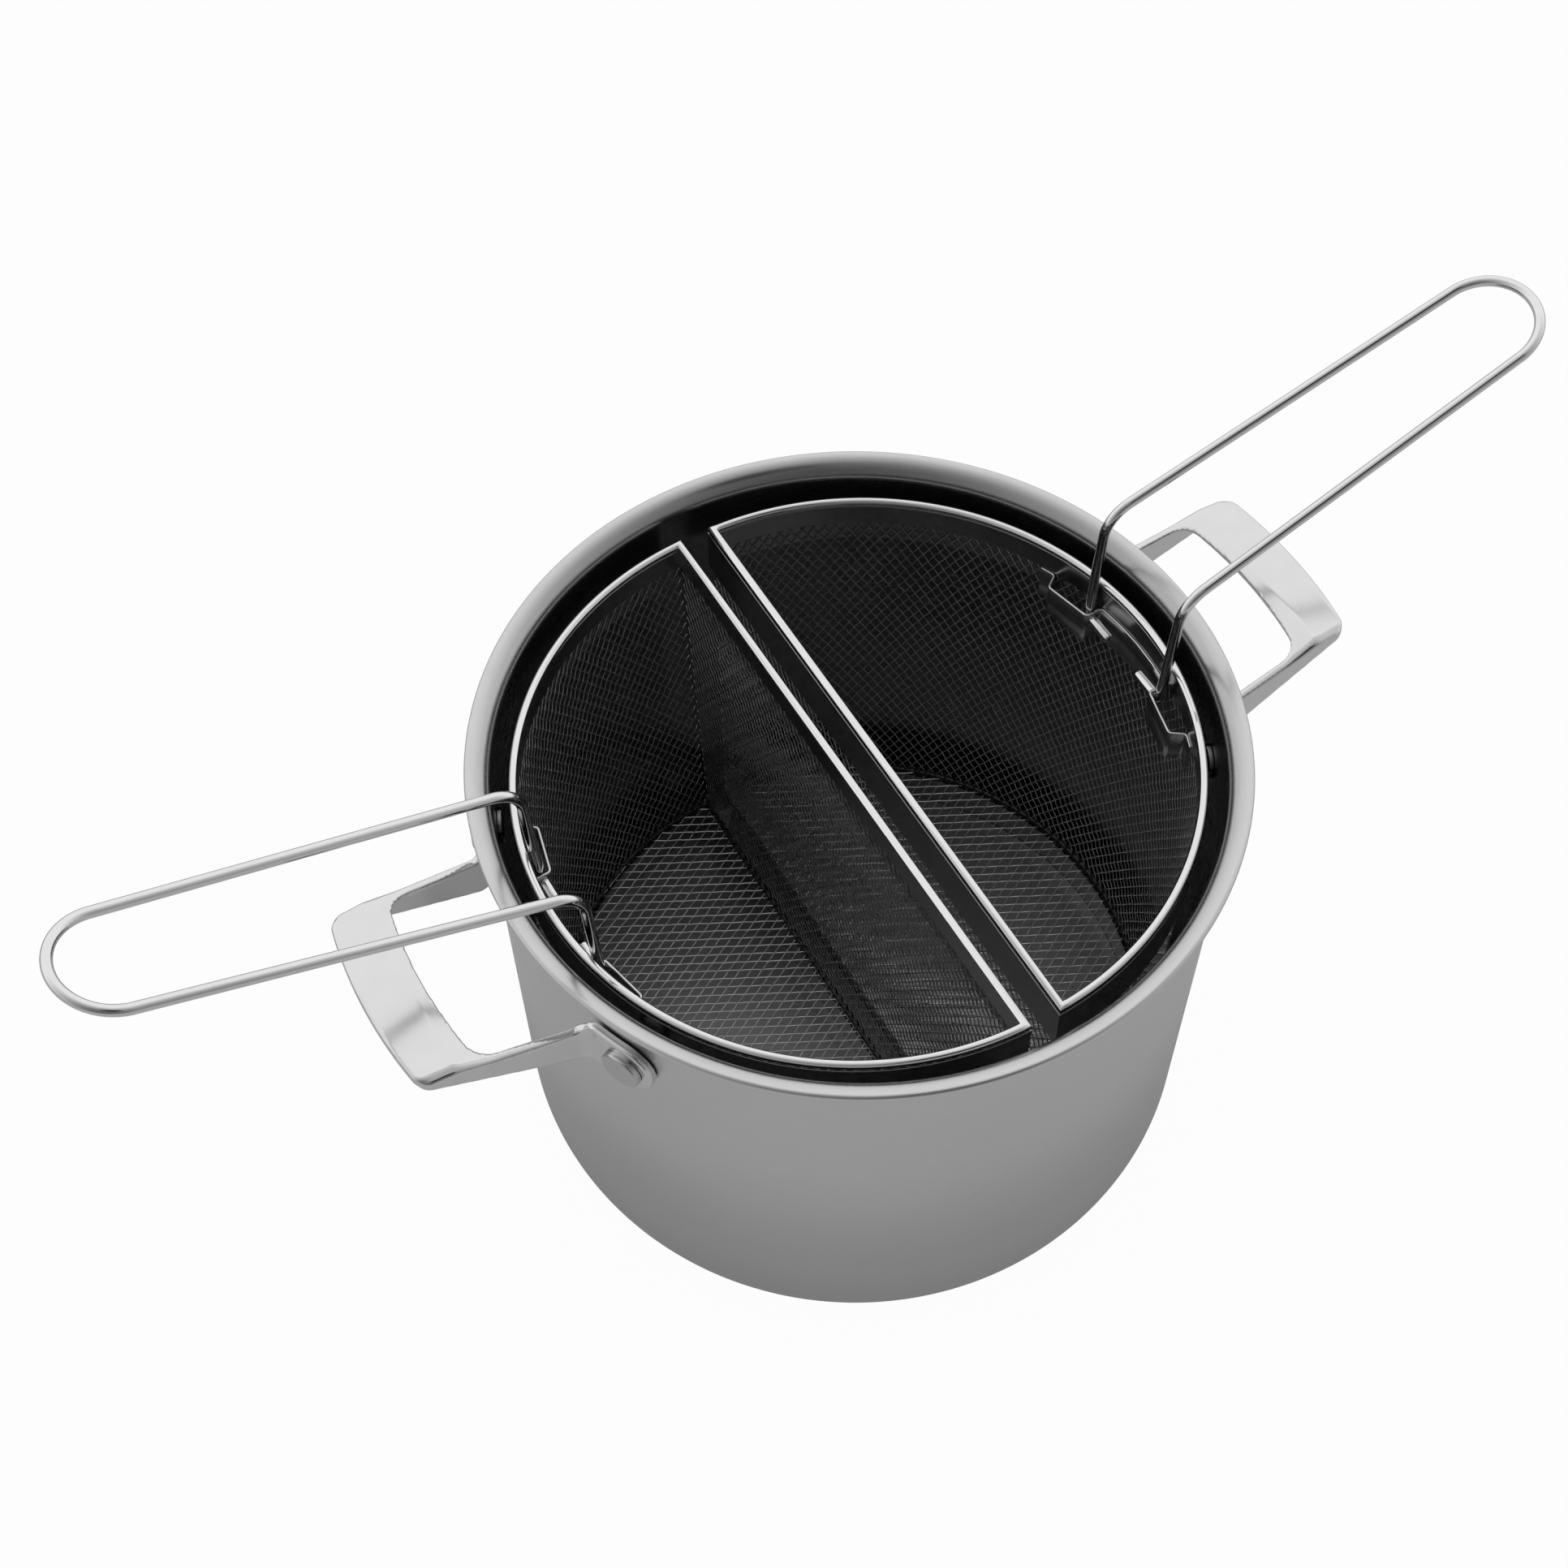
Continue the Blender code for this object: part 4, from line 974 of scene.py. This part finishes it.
def soft_strip(inner, outer, bottom, top, cut):
    """An upright rectangle with slightly cut corners, as (outward, height) points."""
    return [
        (inner + cut, bottom), (outer - cut, bottom), (outer, bottom + cut), (outer, top - cut),
        (outer - cut, top), (inner + cut, top), (inner, top - cut), (inner, bottom + cut),
    ]


def basket_rim(side, metals):
    """The bead and the two bands under it."""
    moon = half_moon(RIM_RADIUS, RIM_FLAT)
    section = circle((0, BEAD_HEIGHT), BEAD_RADIUS, BEAD_SIDES)
    bead = shown(side + "_bead", *rail(moon, section), metals["bright"], sharp=60)
    cut = BAND_SHEET / 4
    face = OUTER_BAND_FACE
    section = soft_strip(face - BAND_SHEET, face, OUTER_BAND_BOTTOM, BAND_TOP, cut)
    outer = shown(side + "_outer_sheet", *rail(moon, section), metals["band"], sharp=30)
    face = INNER_BAND_FACE
    section = soft_strip(face, face + BAND_SHEET, INNER_BAND_BOTTOM, BAND_TOP, cut)
    inner = shown(side + "_inner_sheet", *rail(moon, section), metals["band"], sharp=30)
    return {"_rim_bead": bead, "_outer_band": outer, "_inner_band": inner}


def basket_bottom(side, metals):
    """The hem, bound with fine wire, and the foot."""
    moon = half_moon(HEM_RADIUS, HEM_FLAT)
    core = HEM_THICKNESS / 2 - BINDING_RADIUS
    points, faces = rail(moon, circle((0, HEM_HEIGHT), core, HEM_SIDES))
    lengths = [0]
    for index in range(len(moon)):
        step = Vector(moon[(index + 1) % len(moon)]) - Vector(moon[index])
        lengths.append(lengths[-1] + step.length)
    turns = round(lengths[-1] / BINDING_PITCH)
    for way in (1, -1):
        route = []
        piece = 0
        for step in range(turns * BINDING_STEPS):
            distance = lengths[-1] * step / (turns * BINDING_STEPS)
            while lengths[piece + 1] < distance:
                piece += 1
            share = (distance - lengths[piece]) / (lengths[piece + 1] - lengths[piece])
            one, other = Vector(moon[piece]), Vector(moon[(piece + 1) % len(moon)])
            place = one.lerp(other, share)
            along = (other - one).normalized()
            out = Vector((along.y, -along.x, 0))
            angle = way * 2 * math.pi * step / BINDING_STEPS
            arm = out * math.cos(angle) + Vector((0, 0, math.sin(angle)))
            route.append(Vector((*place, HEM_HEIGHT)) + arm * core)
        more, quads = tube(route, [BINDING_RADIUS] * len(route), BINDING_SIDES)
        start = len(points)
        points += more
        faces += [tuple(start + k for k in face) for face in quads]
    # The hem takes near-black steel, a painted shade.
    hem = shown(side + "_bound_hem", points, faces, metals["hem"], sharp=60)
    inner = -FOOT_INSET - FOOT_SHEET
    section = soft_strip(inner, -FOOT_INSET, WALL + GAP, FOOT_TOP, FOOT_SHEET / 4)
    # The foot takes a darker copy of the band steel, a painted shade.
    foot = shown(side + "_foot_sheet", *rail(moon, section), metals["foot"], sharp=30)
    return {"_bottom_hem": hem, "_foot_band": foot}


def basket_bracket(side, metals):
    """The strip bent into two pockets, with a hole for a pin in each."""
    def on_band(spread):
        return (MOON_CENTER + math.sqrt(BRACKET_RADIUS ** 2 - spread ** 2), spread)

    tab = LEG_SPREAD + TAB_BEND
    half = [on_band(SHOULDER_SPREAD / 2), on_band(SHOULDER_SPREAD), (PIVOT - POCKET_NEAR, SHOULDER_SPREAD)]
    half += [(PIVOT - POCKET_FAR, LEG_SPREAD + POCKET_LENGTH), on_band(tab), on_band(tab + TAB_LENGTH)]
    mirrored = [(x, -y) for x, y in reversed(half)]
    corners = [Vector(corner) for corner in mirrored + [on_band(0)] + half]
    route = bent(corners, [STRIP_BEND] * (len(corners) - 2), STRIP_BEND_STEPS)
    section = soft_strip(-STRIP / 2, STRIP / 2, BRACKET_BOTTOM, BRACKET_TOP, STRIP / 4)
    points, faces = rail([(p.x, p.y) for p in route], section, False)
    bracket = facing_out(shown(side + "_pocket_strip", points, faces, metals["bracket"], sharp=50))
    for way in (1, -1):
        mesh = bmesh.new()
        bmesh.ops.create_cone(
            mesh, cap_ends=True, segments=PIN_HOLE_SIDES, radius1=PIN_HOLE_RADIUS, radius2=PIN_HOLE_RADIUS,
            depth=LEG_SPREAD - PIN_END, matrix=Matrix.Rotation(math.pi / 2, 4, "X"),
        )
        data = bpy.data.meshes.new("pin_hole")
        mesh.to_mesh(data)
        mesh.free()
        cutter = placed("pin_hole", data)
        cutter.location = (PIVOT, way * (LEG_SPREAD + PIN_END) / 2, PIVOT_HEIGHT)
        modifier = bracket.modifiers.new("hole", "BOOLEAN")
        modifier.operation = "DIFFERENCE"
        modifier.solver = "EXACT"
        modifier.object = cutter
        settle(bracket)
        bpy.data.objects.remove(cutter)
    return {"_handle_bracket": bracket}


def settle(item):
    """Apply the item's modifiers."""
    graph = bpy.context.evaluated_depsgraph_get()
    graph.update()
    data = bpy.data.meshes.new_from_object(item.evaluated_get(graph))
    item.modifiers.clear()
    item.data = data


def wire_handle(side, metals):
    """The wire handle, its pin ends slightly rounded."""
    rise = Vector((math.sin(LEG_LEAN), 0, math.cos(LEG_LEAN)))
    out = Vector((math.cos(LOOP_RISE), 0, math.sin(LOOP_RISE)))
    aside = Vector((0, LEG_SPREAD, 0))
    shoulder = rise * (LEG_TOP - PIVOT_HEIGHT) / rise.z
    run = (LOOP_TIP - PIVOT - shoulder.x) / out.x - TIP_SPREAD
    tip_center = shoulder + out * run
    tip_aside = Vector((0, TIP_SPREAD, 0))
    soft = WIRE_RADIUS / 3
    start = [Vector((0, PIN_END, 0)), Vector((0, PIN_END + soft / 3, 0)), Vector((0, PIN_END + soft, 0))]
    corners = [start[2], aside, aside + shoulder, tip_aside + tip_center]
    half = start[:2] + bent(corners, [PIN_BEND, SHOULDER_BEND], WIRE_BEND_STEPS)
    for step in range(1, WIRE_SIDES + 1):
        turn = math.pi / 2 * step / WIRE_SIDES
        half.append(tip_center + tip_aside * math.cos(turn) + out * TIP_SPREAD * math.sin(turn))
    route = half + [Vector((p.x, -p.y, p.z)) for p in reversed(half[:-1])]
    radii = [WIRE_RADIUS] * len(route)
    for index, radius in enumerate((WIRE_RADIUS - soft, WIRE_RADIUS - soft / 3)):
        radii[index] = radii[-1 - index] = radius
    points, faces = tube(route, radii, WIRE_SIDES)
    wire = facing_out(shown(side + "_wire", points, faces, metals["bright"], sharp=50))
    wire.data.transform(Matrix.Translation((PIVOT, 0, PIVOT_HEIGHT)))
    return wire


def add_basket(side, turn, metals):
    """One basket with its wire handle, turned about the pot's axis."""
    pieces = {}
    for make in (basket_rim, basket_bottom, basket_bracket, basket_nets):
        pieces.update(make(side, metals))
    spin = Matrix.Rotation(turn, 4, "Z")
    for node, piece in pieces.items():
        piece.data.transform(spin)
        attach(piece, "basket_" + side)
        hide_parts("basket_" + side + node)
    wire = wire_handle(side, metals)
    wire.data.transform(spin)
    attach(wire, "wire_handle_" + side)
    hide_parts("basket_" + side + "_wire_handle")


# Stage

def add_floor():
    """A plain pale floor, which keeps a soft shadow. It looks white where nothing shades it."""
    mesh = bmesh.new()
    bmesh.ops.create_grid(mesh, x_segments=1, y_segments=1, size=FLOOR_SIZE)
    data = bpy.data.meshes.new("floor")
    mesh.to_mesh(data)
    mesh.free()
    floor = placed("floor", data)
    floor.location.z = -GAP
    material, tree, shader = nodes_of("floor_white")
    nodes, links = tree.nodes, tree.links
    shader.inputs["Base Color"].default_value = (FLOOR_GREY, FLOOR_GREY, FLOOR_GREY, 1)
    shader.inputs["Roughness"].default_value = FLOOR_ROUGHNESS
    shader.inputs["Specular IOR Level"].default_value = 0
    white = nodes.new("ShaderNodeEmission")
    white.inputs["Strength"].default_value = 1
    path = nodes.new("ShaderNodeLightPath").outputs
    camera = math_node(tree, "MULTIPLY", path["Is Camera Ray"], FLOOR_WHITE)
    mirror = math_node(tree, "MAXIMUM", path["Is Glossy Ray"], path["Is Transmission Ray"])
    mirror = math_node(tree, "MULTIPLY", mirror, MIRROR_WHITE)
    mixed = nodes.new("ShaderNodeMixShader")
    links.new(math_node(tree, "MAXIMUM", camera, mirror), mixed.inputs["Fac"])
    links.new(shader.outputs[0], mixed.inputs[1])
    links.new(white.outputs[0], mixed.inputs[2])
    links.new(mixed.outputs[0], nodes["Material Output"].inputs["Surface"])
    data.materials.append(material)


def facing(tree, view, turn, rise):
    """The output of how far a view direction faces a direction given by its turn about Z and its rise."""
    node = tree.nodes.new("ShaderNodeVectorMath")
    node.operation = "DOT_PRODUCT"
    tree.links.new(view, node.inputs[0])
    flat = math.cos(rise)
    node.inputs[1].default_value = (math.cos(turn) * flat, math.sin(turn) * flat, math.sin(rise))
    return node.outputs["Value"]


def add_world():
    """A white studio. The metal also mirrors its dim side and a dark stand."""
    world = bpy.data.worlds.new("studio")
    bpy.context.scene.world = world
    world.use_nodes = True
    tree = world.node_tree
    path = tree.nodes.new("ShaderNodeLightPath").outputs
    mirror = math_node(tree, "MAXIMUM", path["Is Glossy Ray"], path["Is Transmission Ray"])
    seen = math_node(tree, "MAXIMUM", path["Is Camera Ray"], mirror)
    view = tree.nodes.new("ShaderNodeTexCoord").outputs["Generated"]
    stand = facing(tree, view, STAND_TURN, STAND_RISE)
    edge = [math.cos(share * STAND_SIZE) for share in STAND_EDGE]
    stand = math_node(tree, "MULTIPLY", ranged(tree, stand, edge, (0, 1)), mirror)
    stand = ranged(tree, stand, (0, 1), (1, STAND_LEVEL))
    dark = facing(tree, view, DARK_TURN, DARK_RISE)
    dark = math_node(tree, "MULTIPLY", ranged(tree, dark, DARK_SPAN, (0, DARK_DEPTH)), mirror)
    dark = ranged(tree, dark, (0, 1), (1, 0))
    level = ranged(tree, seen, (0, 1), (SKY_LEVEL, 1))
    level = math_node(tree, "MULTIPLY", level, math_node(tree, "MULTIPLY", stand, dark))
    background = tree.nodes["Background"]
    background.inputs["Color"].default_value = (1, 1, 1, 1)
    tree.links.new(level, background.inputs["Strength"])


def add_lamp(name, place, size, power):
    """A square softbox that faces the pot. The metal doesn't mirror its shape."""
    data = bpy.data.lights.new(name, "AREA")
    data.size = size
    data.energy = power
    lamp = placed(name, data)
    lamp.location = place
    lamp.visible_glossy = False
    toward = Vector((0, 0, POT_HEIGHT / 2)) - Vector(place)
    lamp.rotation_euler = toward.to_track_quat("-Z", "Y").to_euler()


def add_camera():
    """The photo's camera."""
    data = bpy.data.cameras.new("camera")
    data.lens = CAMERA_LENS
    data.sensor_width = CAMERA_SENSOR
    data.clip_start, data.clip_end = CAMERA_NEAR, CAMERA_FAR
    camera = placed("camera", data)
    right, up = Vector(CAMERA_RIGHT), Vector(CAMERA_UP)
    back = right.cross(up)
    turn = Matrix((right, up, back)).transposed().to_4x4()
    camera.matrix_world = Matrix.Translation(CAMERA_PLACE) @ turn
    bpy.context.scene.camera = camera


metals = made_materials()
add_camera()
add_world()
add_floor()
for lamp_name, lamp in LAMPS.items():
    add_lamp(lamp_name, *lamp)
add_pot(metals)
add_side_handle("side_handle_right", 0, metals["cast"])
add_side_handle("side_handle_left", math.pi, metals["cast"])
add_rivets(metals["rivet"], metals["inner_rivet"])
add_basket("right", 0, metals)
add_basket("left", math.pi, metals)
bpy.context.scene.view_settings.view_transform = "Standard"
